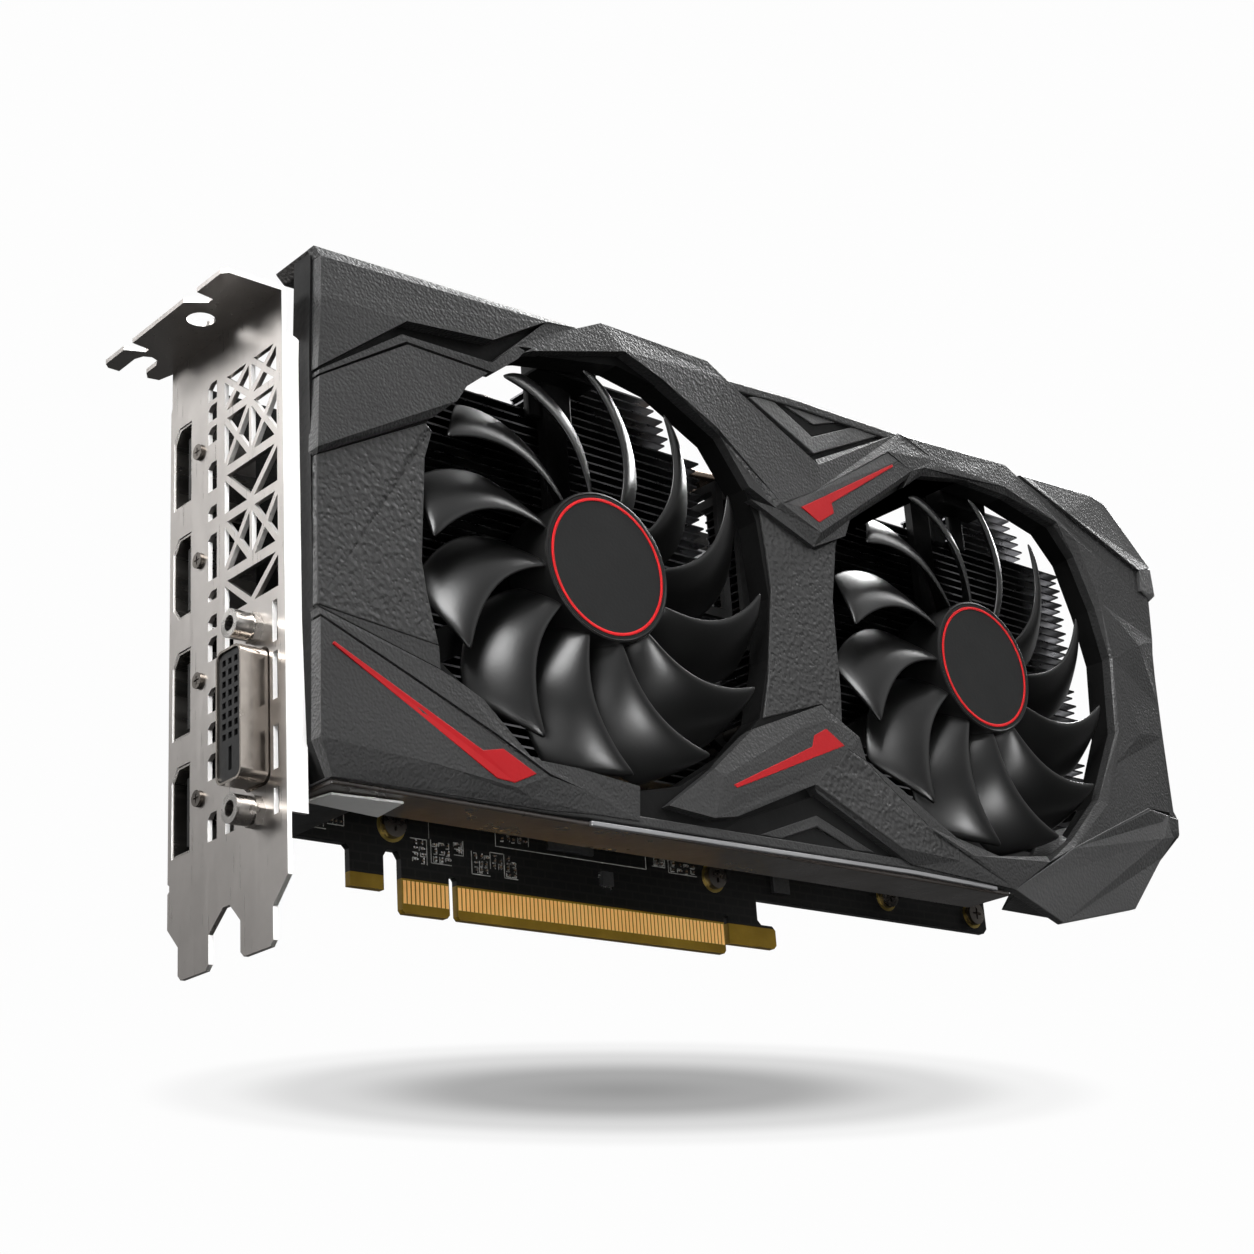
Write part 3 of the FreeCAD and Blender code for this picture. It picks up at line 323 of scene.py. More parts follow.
NODE_LOOKS = {
    "bracket": ["io_bracket"],
    "screw": ["cooler_screws", "jack_posts"],
    "steel": ["port_screws", "board_screws", "holder_screws"],
    "port": ["dp_1_shell", "dp_2_shell", "dp_3_shell", "hdmi_shell"],
    "dvi": ["dvi_shell"],
    "insulator": ["dp_1_core", "dp_2_core", "dp_3_core", "hdmi_core", "dvi_housing",
                  "power_inlet", "fan_header"],
    "board": ["board"],
    "gold": ["edge_contacts", "power_pins"],
    "substrate": ["gpu_substrate"],
    "silicon": ["gpu_die"],
    "epoxy": ["memory_chips", "mosfets"],
    "pad": ["thermal_pads"],
    "choke": ["chokes"],
    "can": ["capacitors"],
    "pipe": ["heat_pipes"],
    "alu": ["heatsink_base"],
    "fin": ["fins_left", "fins_right"],
    "spring": ["retention_plate", "shaft_left", "shaft_right"],
    "duct": ["fan_holder_left", "fan_holder_right"],
    "copper": ["motor_stators"],
    "brass": ["bearing_sleeves"],
    "rubber": ["fan_leads"],
    "magnet": ["magnet_left", "magnet_right"],
    "badge": ["badge_left", "badge_right"],
}
for look, names in NODE_LOOKS.items():
    for name in names:
        mesh = nodes[name].data
        mesh.materials.clear()
        mesh.materials.append(M[look])


def soften(obj, width, angle=30):
    """Small rounded edges on a hard-edged piece."""
    bevel = obj.modifiers.new("edges", "BEVEL")
    bevel.width = width / 1000
    bevel.segments = 2
    bevel.limit_method = "ANGLE"
    bevel.angle_limit = math.radians(angle)
    # The second material paints the rounded edges lighter: a painted highlight.
    if len(obj.data.materials) > 1:
        bevel.material = 1


# ---- mesh helpers ----
def make_object(name, mesh, look, body="card", replaces=()):
    """Piece with one or two materials, riding a body and standing for CAD nodes."""
    obj = bpy.data.objects.new(name, mesh)
    bpy.context.scene.collection.objects.link(obj)
    mesh.materials.clear()
    for one in look if isinstance(look, (list, tuple)) else [look]:
        mesh.materials.append(M[one])
    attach(obj, body)
    if replaces:
        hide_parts(*replaces)
    return obj


def mesh_from(bm, name, smooth=False):
    """Mesh made from a finished bmesh, with its faces turned outwards."""
    bmesh.ops.recalc_face_normals(bm, faces=bm.faces)
    mesh = bpy.data.meshes.new(name)
    bm.to_mesh(mesh)
    bm.free()
    for face in mesh.polygons:
        face.use_smooth = smooth
    return mesh


def prism(bm, outline, y0, y1):
    """Closed prism with its outline in X and Z, between two depths."""
    front = [bm.verts.new(at(x, y0, z)) for x, z in outline]
    back = [bm.verts.new(at(x, y1, z)) for x, z in outline]
    bm.faces.new(front)
    bm.faces.new(back[::-1])
    for i in range(len(outline)):
        j = (i + 1) % len(outline)
        bm.faces.new((front[i], back[i], back[j], front[j]))


def block(bm, x0, x1, y0, y1, z0, z1):
    """Box between two corners."""
    prism(bm, [(x0, z0), (x1, z0), (x1, z1), (x0, z1)], y0, y1)


def inset(outline, distance):
    """The same outline moved inwards; corners stay corners."""
    area = sum(a[0] * b[1] - b[0] * a[1] for a, b in zip(outline, outline[1:] + outline[:1]))
    side = 1 if area > 0 else -1
    lines = []
    for a, b in zip(outline, outline[1:] + outline[:1]):
        dx, dz = b[0] - a[0], b[1] - a[1]
        length = math.hypot(dx, dz)
        nx, nz = -dz / length * distance * side, dx / length * distance * side
        lines.append(((a[0] + nx, a[1] + nz), (b[0] + nx, b[1] + nz)))
    moved = []
    for first, second in zip(lines[-1:] + lines[:-1], lines):
        p, r = first[0], (first[1][0] - first[0][0], first[1][1] - first[0][1])
        q, s = second[0], (second[1][0] - second[0][0], second[1][1] - second[0][1])
        cross = r[0] * s[1] - r[1] * s[0]
        if abs(cross) < 1e-6:
            moved.append(second[0])
            continue
        t = ((q[0] - p[0]) * s[1] - (q[1] - p[1]) * s[0]) / cross
        moved.append((p[0] + r[0] * t, p[1] + r[1] * t))
    return moved


def plate_with_holes(name, outlines, y0, y1):
    """Flat plate between two depths; the first outline is outside, the rest are holes."""
    curve = bpy.data.curves.new(name, "CURVE")
    curve.dimensions = "2D"
    curve.fill_mode = "BOTH"
    curve.extrude = abs(y1 - y0) / 2000
    for outline in outlines:
        spline = curve.splines.new("POLY")
        spline.points.add(len(outline) - 1)
        for point, (x, z) in zip(spline.points, outline):
            point.co = ((x - KEY_X) / 1000, z / 1000, 0, 1)
        spline.use_cyclic_u = True
    holder = bpy.data.objects.new(name, curve)
    bpy.context.scene.collection.objects.link(holder)
    bpy.context.view_layer.update()
    mesh = bpy.data.meshes.new_from_object(
        holder.evaluated_get(bpy.context.evaluated_depsgraph_get()))
    bpy.data.objects.remove(holder)
    bpy.data.curves.remove(curve)
    mesh.transform(Matrix.Translation((0, (y0 + y1) / 2000, 0))
                   @ Matrix.Rotation(math.radians(90), 4, "X"))
    bm = bmesh.new()
    bm.from_mesh(mesh)
    bmesh.ops.remove_doubles(bm, verts=bm.verts, dist=1e-6)
    bpy.data.meshes.remove(mesh)
    return mesh_from(bm, name)


# ---- shroud ----
# Corners of the shroud's facets: X from the bracket, depth and height, in millimetres.
POINTS = [
    (3.7, -40, 110), (65.3, -40, 112), (57.8, -40.9, 110.5), (4.5, -41, 107.7), (55.9, -41, 109.6),
    (43.4, -41.2, 102.1), (23.1, -41.3, 99.9), (4.3, -41.3, 99.4), (3.8, -40.6, 85.2),
    (57.1, -40.7, 110.2), (53.4, -40.7, 103.5), (49.5, -40.75, 102.8), (43.7, -40.75, 98),
    (4, -40.5, 84.7), (22.2, -40.95, 97), (43.1, -40.8, 97.3), (51.6, -40.6, 102.4),
    (49.8, -40.6, 100.2), (43.8, -40.55, 95.6), (42.8, -40.7, 95.5), (23.1, -40.9, 95.8),
    (4, -40.5, 83.9), (4, -40.7, 83.4), (23.2, -41.1, 95.1), (42.1, -40.85, 94.8),
    (37, -40.7, 90.7), (34.6, -40.7, 87), (3.2, -41.05, 69.3), (29.3, -39.9, 82.4),
    (3.7, -40.1, 68.5), (3.7, -39.8, 68.4), (28.1, -39.3, 81.2), (30.1, -38.6, 80.3),
    (27.9, -39, 74.2), (26.3, -39.2, 53.5), (27.1, -39.2, 47.8), (28.3, -39.1, 42.9),
    (29.5, -39, 38), (3.4, -39.8, 40.3), (2.9, -40.65, 39.7), (28.5, -40.3, 37.2),
    (28.9, -39.95, 33.1), (3.5, -40.15, 39.2), (3.1, -40.6, 39.3), (28.2, -40.9, 32.5),
    (32.9, -40.9, 30.7), (37.6, -40.8, 28.6), (47.9, -40.6, 19.7), (50.4, -40.5, 19.3),
    (52.3, -40.7, 17), (41, -41, 22.2), (22.7, -41.1, 29.9), (3.3, -40.8, 38.1), (3.3, -40.8, 37.6),
    (22.6, -41.2, 29.3), (40.8, -41.2, 21.6), (51.8, -40.9, 16.5), (43.9, -41.1, 13.2),
    (25.5, -41.25, 14.9), (2.9, -40.95, 16.2), (47.7, -40.5, 11.9), (52.5, -39.9, 10.4),
    (5.6, -39.9, 9.9), (60.1, -40.4, 15.4), (62.4, -39.9, 11.2), (59.4, -40.3, 19.3),
    (74.1, -40.3, 18), (73.9, -39.9, 11.4), (5.8, -41.2, 33.5), (36.6, -41.35, 18.9),
    (41.2, -41.35, 19.9), (48.7, -41.2, 16.4), (43.6, -41.2, 14), (39.6, -41.3, 14.2),
    (5.5, -41.2, 33), (51, -40.6, 101.8), (65.6, -40.05, 111.8), (72.3, -40.05, 115.1),
    (77.4, -41.15, 109.7), (53.5, -40.8, 102.9), (101.6, -40.05, 115.1), (106.3, -40.25, 112.3),
    (107.3, -40.4, 111.4), (131.5, -41.3, 98.2), (130, -41.3, 91.8), (118.9, -41.25, 86.2),
    (109.9, -41, 93.4), (102, -40.9, 99.5), (87.5, -41.1, 106.2), (118.1, -40.3, 85.2),
    (110.7, -40.1, 88.4), (103.4, -40.1, 98.2), (88.3, -40.1, 105.7), (114, -39.4, 110.4),
    (119.8, -39.2, 112.5), (132.2, -39.6, 105.8), (147.7, -39.2, 112.7), (157.3, -39, 113.3),
    (131.7, -40.2, 101.4), (111.2, -38.8, 112.5), (120.4, -38.6, 113), (134.1, -38.9, 109.4),
    (146.3, -38.6, 113.6), (148.4, -38.6, 113.1), (132.9, -38.9, 106.3), (121.4, -39, 112.7),
    (128.9, -38.8, 114.2), (145.3, -38.8, 113.4), (133.3, -39.5, 109.1), (131.4, -40.6, 99.7),
    (151.1, -40.3, 109.3), (160.1, -40.1, 113.6), (160.5, -40.1, 113.9), (162.6, -40.5, 113.3),
    (171.4, -40.9, 109.7), (162.4, -41.1, 104.6), (154.8, -41.3, 107.4), (155.2, -41, 107.6),
    (158.5, -41.1, 106), (132.1, -41.1, 90.8), (125.1, -41.1, 86.8), (119.3, -40.9, 86.4),
    (131.8, -41.3, 90.7), (130, -41.3, 82), (128.6, -40.2, 78.8), (111, -39.9, 85.7),
    (162.6, -40.4, 103.6), (140.9, -40.2, 87.9), (139, -40.1, 83.7), (124.8, -41.35, 86.7),
    (155.8, -41.35, 104.5), (156.1, -41.35, 104), (134.4, -41.35, 89.9), (134.8, -41.35, 87.6),
    (129.9, -41.35, 84.3), (114.5, -38.9, 84.7), (126.6, -39, 79.6), (129.9, -39, 78.8),
    (137.2, -39, 82.8), (134.2, -39, 68.2), (133.7, -39, 47.1), (133.1, -39, 40.4),
    (127.4, -39, 43.7), (110.2, -38.9, 37.9), (112.6, -38.9, 46.4), (115.9, -38.9, 66.9),
    (115.5, -38.9, 74.9), (103.6, -40.25, 33.1), (105.7, -40.1, 34.5), (125.4, -40.8, 42.7),
    (127, -41.25, 39.7), (117.7, -41.25, 36), (93.6, -40.6, 24.4), (136.4, -40.4, 37.6),
    (137.9, -40.2, 32.8), (131.5, -41.3, 34.1), (124.5, -41.3, 37.1), (95.6, -41.2, 22.9),
    (127.9, -41.2, 29.9), (98.7, -41.2, 20.1), (80.9, -40.5, 15.2), (92.3, -40.9, 14.2),
    (125.5, -41.25, 29.5), (120.8, -41.3, 24.9), (98.4, -40.9, 15.3), (142.8, -40.3, 29.1),
    (156.1, -40.3, 20.5), (164.8, -40.3, 18.9), (163.7, -40.5, 14.4), (145.3, -41.1, 14.7),
    (149.3, -40, 12), (147.5, -40.1, 12.5), (121.7, -40.6, 23.5), (121, -40.7, 24.4),
    (122.8, -38.9, 23.6), (149, -38.4, 12.9), (95.7, -38.4, 12.8), (100.7, -38.6, 15.5),
    (122.7, -39, 19.3), (139.4, -38.7, 13.7), (133.3, -38.7, 13.5), (122.2, -39.2, 16.8),
    (112.2, -38.7, 13.2), (106.5, -38.7, 13.3), (97.8, -41.35, 21.5), (120.9, -41.35, 32.9),
    (121.7, -41.35, 35.4), (125.5, -41.35, 37.5), (130.6, -41.35, 34.6), (98.7, -41.35, 21),
    (198.3, -40.05, 115.6), (201.8, -40.2, 113.8), (195.9, -41, 109), (180.7, -41.1, 109.2),
    (166.8, -41.1, 106.6), (245.7, -40.3, 98.6), (248.5, -40.15, 90.8), (220.5, -41.1, 101.1),
    (214, -41.1, 104.2), (220.1, -40.2, 96.7), (213.8, -40.2, 103.7), (197.1, -40.2, 107.3),
    (181.5, -40.2, 107.6), (166.5, -40.2, 104.8), (160, -40.2, 100.3), (203, -40.4, 114.1),
    (207.3, -40.1, 114.6), (231, -40.1, 115.6), (236, -40.1, 114.5), (251.3, -40.1, 100.7),
    (244.9, -41.3, 98.2), (219.2, -41.3, 107.5), (251.5, -40.1, 100.4), (251.9, -40, 93.3),
    (249.3, -40.1, 91.4), (244.9, -41, 93), (247.7, -40.05, 80.8), (231.2, -41.1, 83.7),
    (227.1, -40.9, 86.2), (228.9, -40.8, 72.1), (227.1, -40.8, 53.8), (226.4, -40.2, 53.4),
    (228.5, -40.2, 72.3), (225.5, -40.2, 84.5), (240.2, -41.1, 77.4), (245.6, -40.05, 70.6),
    (245.7, -40.05, 63.4), (245.7, -40.05, 55.4), (235.4, -41, 54.3), (243.4, -40.05, 36.2),
    (233.9, -41.1, 35.7), (218.3, -41, 34.5), (223.2, -40.8, 44.7), (203.5, -41.1, 22.4),
    (194, -40.9, 17.9), (203.9, -40.2, 24.3), (216.1, -40.2, 35.5), (233.6, -41.3, 35.6),
    (242.1, -40.6, 35.2), (238.3, -41.1, 28.9), (181.4, -40.4, 10.4), (203.9, -41.3, 22.6),
    (245.5, -40, 34.7), (244.4, -40, 30.2), (237.7, -40, 24.2), (224.7, -39.9, 10.8),
    (197.4, -39.9, 4.7), (148.4, -40.2, 27.9), (163.8, -40.2, 19.7), (177.7, -40.2, 17.3),
    (194.1, -40.2, 19.3), (168.4, -40.9, 16.1), (153.3, -40.9, 21), (150, -39.95, 12),
]
# Each facet is a tuple of corners, by their place in POINTS.
SKIN_FACETS = [
    (0, 1, 2, 3), (3, 2, 4, 5, 6, 7), (7, 6, 8), (9, 1, 10, 11, 12),
    (13, 14, 15, 11, 16, 17, 18, 19, 20, 21), (22, 23, 24, 25, 26, 27), (27, 26, 28, 29),
    (39, 40, 41, 42), (43, 44, 45, 46, 47, 48, 49, 50, 51, 52), (53, 54, 55, 56, 57, 58, 59),
    (59, 58, 57, 60, 61, 62), (57, 56, 63, 64, 61, 60), (49, 48, 65, 66, 67, 64, 63),
    (75, 10, 1, 76, 77, 78, 79), (77, 80, 81, 78), (78, 81, 82, 83, 84, 85, 86, 87, 88),
    (78, 88, 87, 86, 85, 89, 90, 91, 92), (109, 110, 111, 83), (83, 112, 113, 114, 115, 116, 84),
    (85, 120, 122, 118, 115, 123), (85, 123, 124, 125, 89), (123, 115, 126, 127, 128, 124),
    (147, 148, 149, 150, 151, 152), (149, 153, 154, 155, 156, 150), (152, 151, 150, 156, 157),
    (157, 156, 155, 158, 159), (160, 152, 157, 159, 161), (159, 158, 162, 163, 164, 161),
    (163, 169, 170, 171, 172, 173), (112, 190, 191, 192, 193, 194, 115, 114, 113),
    (192, 191, 195, 196, 197, 198), (115, 194, 193, 192, 198, 197, 199, 200, 201, 202, 203, 204),
    (197, 196, 216, 217, 218), (197, 218, 219, 220, 221, 222, 223, 199),
    (218, 217, 224, 225, 226, 227, 228, 220, 219), (217, 216, 225, 224),
    (220, 228, 227, 229, 230, 231, 232), (232, 231, 230, 233, 234, 235, 236, 221, 220),
    (154, 247, 248, 249, 250, 234, 240, 251, 252, 167, 166, 165),
    (167, 252, 251, 240, 253, 170, 169, 168),
]
COARSE_FACETS = [
    (30, 31, 32, 33, 34, 35, 36, 37, 38),
    (135, 136, 137, 138, 139, 140, 141, 142, 143, 144, 145, 146),
]
RED_FACETS = [
    (68, 69, 70, 71, 72, 73, 74), (129, 122, 130, 131, 132, 133, 134),
    (184, 185, 186, 187, 188, 189),
]
PALE_FACETS = [
    (93, 94, 95, 96, 97, 98), (105, 106, 107, 108), (84, 117, 118, 119, 120, 121),
]
# Recessed inset floors, painted near black as painted shade.
SHADE_PAINTED_FACETS = [
    (99, 100, 101, 102, 103, 104), (174, 175, 176, 177),
]
GRAIN_FACETS = [
    (158, 155, 154, 165, 166, 167, 168, 169, 163, 162),
]
PALE2_FACETS = [
    (178, 179, 180, 181, 182, 183),
]
COVER_FACETS = [
    (205, 206, 207, 208, 209, 210, 211), (210, 212, 213, 214, 215), (237, 238, 239, 240, 241),
    (238, 242, 243, 239), (240, 239, 243, 244, 245, 246),
]


OUTLINE = [
    (3.5, 16.6), (5.5, 9.8), (52.4, 10.0), (62.3, 10.4), (149.9, 11.2), (181.8, 10.4),
    (246.6, 30.4), (247.6, 34.9), (246.2, 37.0), (246.6, 56.0), (247.2, 70.7), (249.0, 90.8),
    (251.8, 93.3), (251.6, 100.6), (236.2, 114.6), (231.2, 115.7), (207.4, 114.6),
    (203.3, 114.2), (198.4, 115.6), (160.6, 114.0), (127.6, 113.7), (106.5, 112.5),
    (101.7, 115.2), (72.3, 115.1), (65.5, 111.9), (33.5, 111.2), (3.6, 110.0), (2.9, 88.0),
    (2.9, 38.6),
]
APERTURES = {
    "left": [
        (26.4, 66.7), (25.6, 58.1), (26.0, 47.6), (26.9, 37.3), (36.0, 30.9), (43.3, 24.6),
        (51.4, 19.6), (63.6, 17.9), (75.6, 17.8), (86.0, 20.2), (100.8, 29.4), (109.4, 37.8),
        (113.3, 51.1), (115.2, 65.0), (113.6, 81.8), (110.8, 88.4), (103.5, 98.3),
        (88.4, 105.8), (77.2, 107.6), (54.6, 103.4), (50.6, 102.1), (37.6, 91.2),
        (33.9, 86.9), (29.1, 82.2),
    ],
    "right": [
        (135.8, 78.4), (134.2, 65.9), (133.8, 53.2), (133.5, 40.7), (138.6, 34.1),
        (148.7, 28.0), (164.1, 19.8), (178.0, 17.4), (194.3, 18.4), (205.2, 23.2),
        (217.0, 34.6), (226.7, 53.5), (228.8, 72.4), (225.7, 84.6), (221.0, 97.0),
        (214.1, 103.8), (197.4, 107.5), (181.7, 107.7), (166.7, 105.0), (160.3, 100.6),
        (140.1, 87.1),
    ],
}


OPEN_END = 27               # the outline's walled corners end here; the rest is the open end
# The second look of each pair paints a highlight on the rounded edges.
PLAIN = ("skin", "skin_edge")
GRAINED = ("coarse", "skin_edge")
PALE = ("cover", "cover_edge")


def facet_skin(name, facets, look, replaces=(), edge=0.22):
    """Welded facets with their outer edges turned back into the plate behind."""
    bm = bmesh.new()
    made = {}
    for facet in facets:
        corners = []
        for i in facet:
            if i not in made:
                made[i] = bm.verts.new(at(*POINTS[i]))
            corners.append(made[i])
        bm.faces.new(corners)
    for face in bm.faces:
        face.normal_update()
        if face.normal.y > 0:
            face.normal_flip()
    rim = [e for e in bm.edges if e.is_boundary]
    turned = bmesh.ops.extrude_edge_only(bm, edges=rim)
    for item in turned["geom"]:
        if isinstance(item, bmesh.types.BMVert):
            item.co.y = SKIN_BACK / 1000
    bmesh.ops.holes_fill(bm, edges=[e for e in bm.edges if e.is_boundary], sides=0)
    mesh = mesh_from(bm, name)
    skin = make_object(name, mesh, look, replaces=replaces)
    soften(skin, edge, 6)


def build_shroud():
    """Plate with the fan openings, outer wall, facets in front and the corner guard."""
    holes = [APERTURES["left"], APERTURES["right"]]
    base = plate_with_holes("shroud_base", [inset(OUTLINE, 0.5)] + holes, BASE_FRONT, DUCT_BACK)
    make_object("shroud_base", base, "duct", replaces=["shroud_frame"])
    # The left end is open from the lower corner up to the top wall.
    strip = OUTLINE[1:OPEN_END]
    inner = inset(OUTLINE, WALL_T)[1:OPEN_END]
    wall = plate_with_holes("shroud_walls", [strip + inner[::-1]], WALL_FRONT, WALL_BACK)
    walls = make_object("shroud_walls", wall, PLAIN)
    soften(walls, 0.3, 8)
    facet_skin("shroud_facets", SKIN_FACETS, PLAIN,
               ["top_left_panel", "top_bridge", "bottom_bridge"])
    facet_skin("left_and_centre_panels", COARSE_FACETS, GRAINED,
               ["left_panel", "centre_column"])
    facet_skin("chevron_plates", PALE_FACETS, PALE)
    facet_skin("lower_chevron", PALE2_FACETS, PLAIN)
    facet_skin("bridge_leg", GRAIN_FACETS, GRAINED)
    facet_skin("corner_covers", COVER_FACETS, PALE,
               ["top_right_cover", "bottom_right_cover"])
    # Inset floors painted near black: painted shade in the recesses.
    facet_skin("inset_floors", SHADE_PAINTED_FACETS, "groove")
    facet_skin("red_accents", RED_FACETS, "red",
               ["trim_left", "trim_top", "trim_bottom"], edge=0.12)
    corner = [(182.9, -40.4, 10.8), (204.3, -41.2, 22.6), (234.0, -41.3, 35.2),
              (246.9, -40.1, 35.0), (246.3, -40.1, 30.8), (192.0, -27.2, 9.8),
              (214.5, -27.2, 9.6), (240.0, -27.2, 16.6), (249.4, -27.2, 31.0),
              (249.4, -27.2, 36.0), (210.0, -27.2, 30.0)]
    bm = bmesh.new()
    for p in corner:
        bm.verts.new(at(*p))
    bmesh.ops.convex_hull(bm, input=bm.verts)
    guard = make_object("corner_guard", mesh_from(bm, "corner_guard"), PLAIN)
    soften(guard, 0.3, 8)


LIP_HEIGHT = 1.0
LIP_FRONT = -39.9
LIP_BACK = -39.0


def build_lip():
    """Folded strip along the shroud's lower wall, pale grey as a painted highlight on that wall's
    lower edge; its duller underside; and the flap.
    """
    bm = bmesh.new()
    top = [(62.0, 9.9), (78.0, 10.1), (110.0, 10.5), (150.0, 11.0), (176.0, 10.6)]
    low = [(x, z - LIP_HEIGHT) for x, z in top]
    prism(bm, top + low[::-1], LIP_FRONT, LIP_BACK)
    strip = make_object("lip_strip", mesh_from(bm, "lip_strip"), "lip",
                        replaces=["lower_lip"])
    soften(strip, 0.2)
    bm = bmesh.new()
    prism(bm, [(6.0, 9.9), (181.0, 10.2), (181.0, 9.2), (6.0, 9.0)], LIP_BACK, -27.0)
    under = make_object("lip_underside", mesh_from(bm, "lip_underside"), "under")
    soften(under, 0.3)
    bm = bmesh.new()
    foot = [(7.0, -29.5), (8.4, -35.4), (22.4, -36.8), (23.4, -27.6)]
    for z in (8.3, 8.75):
        for x, y in foot:
            bm.verts.new(at(x, y, z))
    bmesh.ops.convex_hull(bm, input=bm.verts)
    flap = make_object("lower_flap", mesh_from(bm, "lower_flap"), "flap")
    soften(flap, 0.12)


# ---- fans ----
BLADE_STATIONS = [
    # radius, sweep of the leading edge (deg), chord (deg), front depth, rear depth
    (14.6, 0.5, 25.0, -38.9, -30.4),
    (17.5, 1.2, 25.5, -39.2, -30.5),
    (21.0, 2.6, 25.8, -39.4, -30.6),
    (25.0, 5.0, 25.8, -39.6, -30.8),
    (29.0, 8.4, 25.4, -39.7, -31.0),
    (33.0, 12.8, 24.8, -39.8, -31.1),
    (36.5, 17.2, 24.0, -39.8, -31.3),
    (39.5, 21.2, 23.0, -39.8, -31.5),
    (BLADE_TIP_R, 24.6, 21.6, -39.7, -31.7),
]
CHORD_STEPS = 9


def blade_point(station, t, side):
    """Point of a blade: t runs from the leading edge to the trailing edge."""
    r, sweep, chord, front, rear = station
    angle = math.radians(sweep - chord * t)
    camber = 0.24 * math.sin(math.pi * t) ** 0.9
    depth = front + (rear - front) * (t ** 1.25) - 2.0 * camber * (1 - t)
    thick = 0.62 * (0.35 + 0.65 * math.sin(math.pi * min(1.0, 0.12 + 0.8 * t)))
    depth += side * thick
    return r * math.cos(angle), depth, r * math.sin(angle)


def build_rotor(side):
    """One fan's blades, hub and red ring, riding the fan's body."""
    cx, cz = FAN_AXES[side]
    bm = bmesh.new()
    for k in range(BLADES):
        turn = math.radians(BLADE_START[side] + 360 / BLADES * k)
        c, s = math.cos(turn), math.sin(turn)
        sheets = []
        for face in (-1, 1):
            rows = []
            for station in BLADE_STATIONS:
                row = []
                for i in range(CHORD_STEPS + 1):
                    u, depth, w = blade_point(station, i / CHORD_STEPS, face)
                    row.append(bm.verts.new(at(cx + u * c - w * s, depth, cz + u * s + w * c)))
                rows.append(row)
            sheets.append(rows)
        for rows in sheets:
            for a, b in zip(rows, rows[1:]):
                for i in range(CHORD_STEPS):
                    bm.faces.new((a[i], a[i + 1], b[i + 1], b[i]))
        front, back = sheets
        for f_row, b_row in ((front[0], back[0]), (front[-1], back[-1])):
            for i in range(CHORD_STEPS):
                bm.faces.new((f_row[i], f_row[i + 1], b_row[i + 1], b_row[i]))
        for i in (0, CHORD_STEPS):
            for j in range(len(BLADE_STATIONS) - 1):
                bm.faces.new((front[j][i], front[j + 1][i], back[j + 1][i], back[j][i]))
    blades = mesh_from(bm, "blades_" + side, smooth=True)
    obj = make_object("blades_" + side, blades, "fan", "fan_" + side,
                      ["rotor_" + side])
    crease = obj.modifiers.new("round", "SUBSURF")
    crease.levels = crease.render_levels = 1
    hub = lathe("hub_" + side, [(0.0, -39.25), (14.6, -39.25), (14.6, -39.7), (14.9, -39.9),
                                (15.25, -39.75), (15.4, -39.3), (15.4, -28.3), (14.9, -28.1),
                                (14.3, -28.1), (14.3, -38.2), (0.0, -38.2)], cx, cz)
    make_object("hub_" + side, hub, "fan", "fan_" + side)
    ring = lathe("ring_" + side, [(13.45, -39.84), (13.45, -39.90), (13.52, -39.94),
                                  (13.98, -39.94), (14.05, -39.90), (14.05, -39.84)], cx, cz,
                 closed=True)
    make_object("ring_" + side, ring, "ring", "fan_" + side)


def lathe(name, profile, cx, cz, closed=False, steps=96):
    """Turned piece about a fan's axis; profile is (radius, depth)."""
    bm = bmesh.new()
    rings = []
    for r, depth in profile:
        if r == 0.0:
            rings.append([bm.verts.new(at(cx, depth, cz))])
            continue
        rings.append([bm.verts.new(at(cx + r * math.cos(2 * math.pi * i / steps), depth,
                                      cz + r * math.sin(2 * math.pi * i / steps)))
                      for i in range(steps)])
    pairs = list(zip(rings, rings[1:]))
    if closed:
        pairs.append((rings[-1], rings[0]))
    for a, b in pairs:
        for i in range(steps):
            j = (i + 1) % steps
            if len(a) == 1:
                bm.faces.new((a[0], b[j], b[i]))
            elif len(b) == 1:
                bm.faces.new((a[i], a[j], b[0]))
            else:
                bm.faces.new((a[i], a[j], b[j], b[i]))
    mesh = mesh_from(bm, name, smooth=True)
    mesh.set_sharp_from_angle(angle=math.radians(32))
    return mesh


FIN_STEP_SPANS = ((74.0, 104.0), (196.0, 222.0))
FIN_STEPS = 6
FIN_STEP_Z = 102.0
FIN_PITCH = 1.9


def build_fin_steps():
    """Short taller steps of the fin stacks, and the dark posts beside them."""
    fins, posts = bmesh.new(), bmesh.new()
    for left, right in FIN_STEP_SPANS:
        for i in range(FIN_STEPS):
            z = FIN_STEP_Z + i * FIN_PITCH
            tooth = 0.0 if i % 2 else 1.1
            block(fins, left, right - tooth - 1.2 * max(0, i - 2), -23.8, -8.0, z, z + 0.4)
        block(fins, left + 0.4, right - 9.0, -8.4, -8.0, 99.0, 111.9)
        for x in (left - 10.0, left - 3.0):
            block(posts, x, x + 4.5, -26.0, -24.1, 98.0, 112.4)
            block(posts, x - 1.0, x + 7.5, -31.0, -25.0, 106.2, 112.8)
    make_object("fin_steps", mesh_from(fins, "fin_steps"), "fin")
    post = make_object("duct_posts", mesh_from(posts, "duct_posts"), "duct")
    soften(post, 0.6)


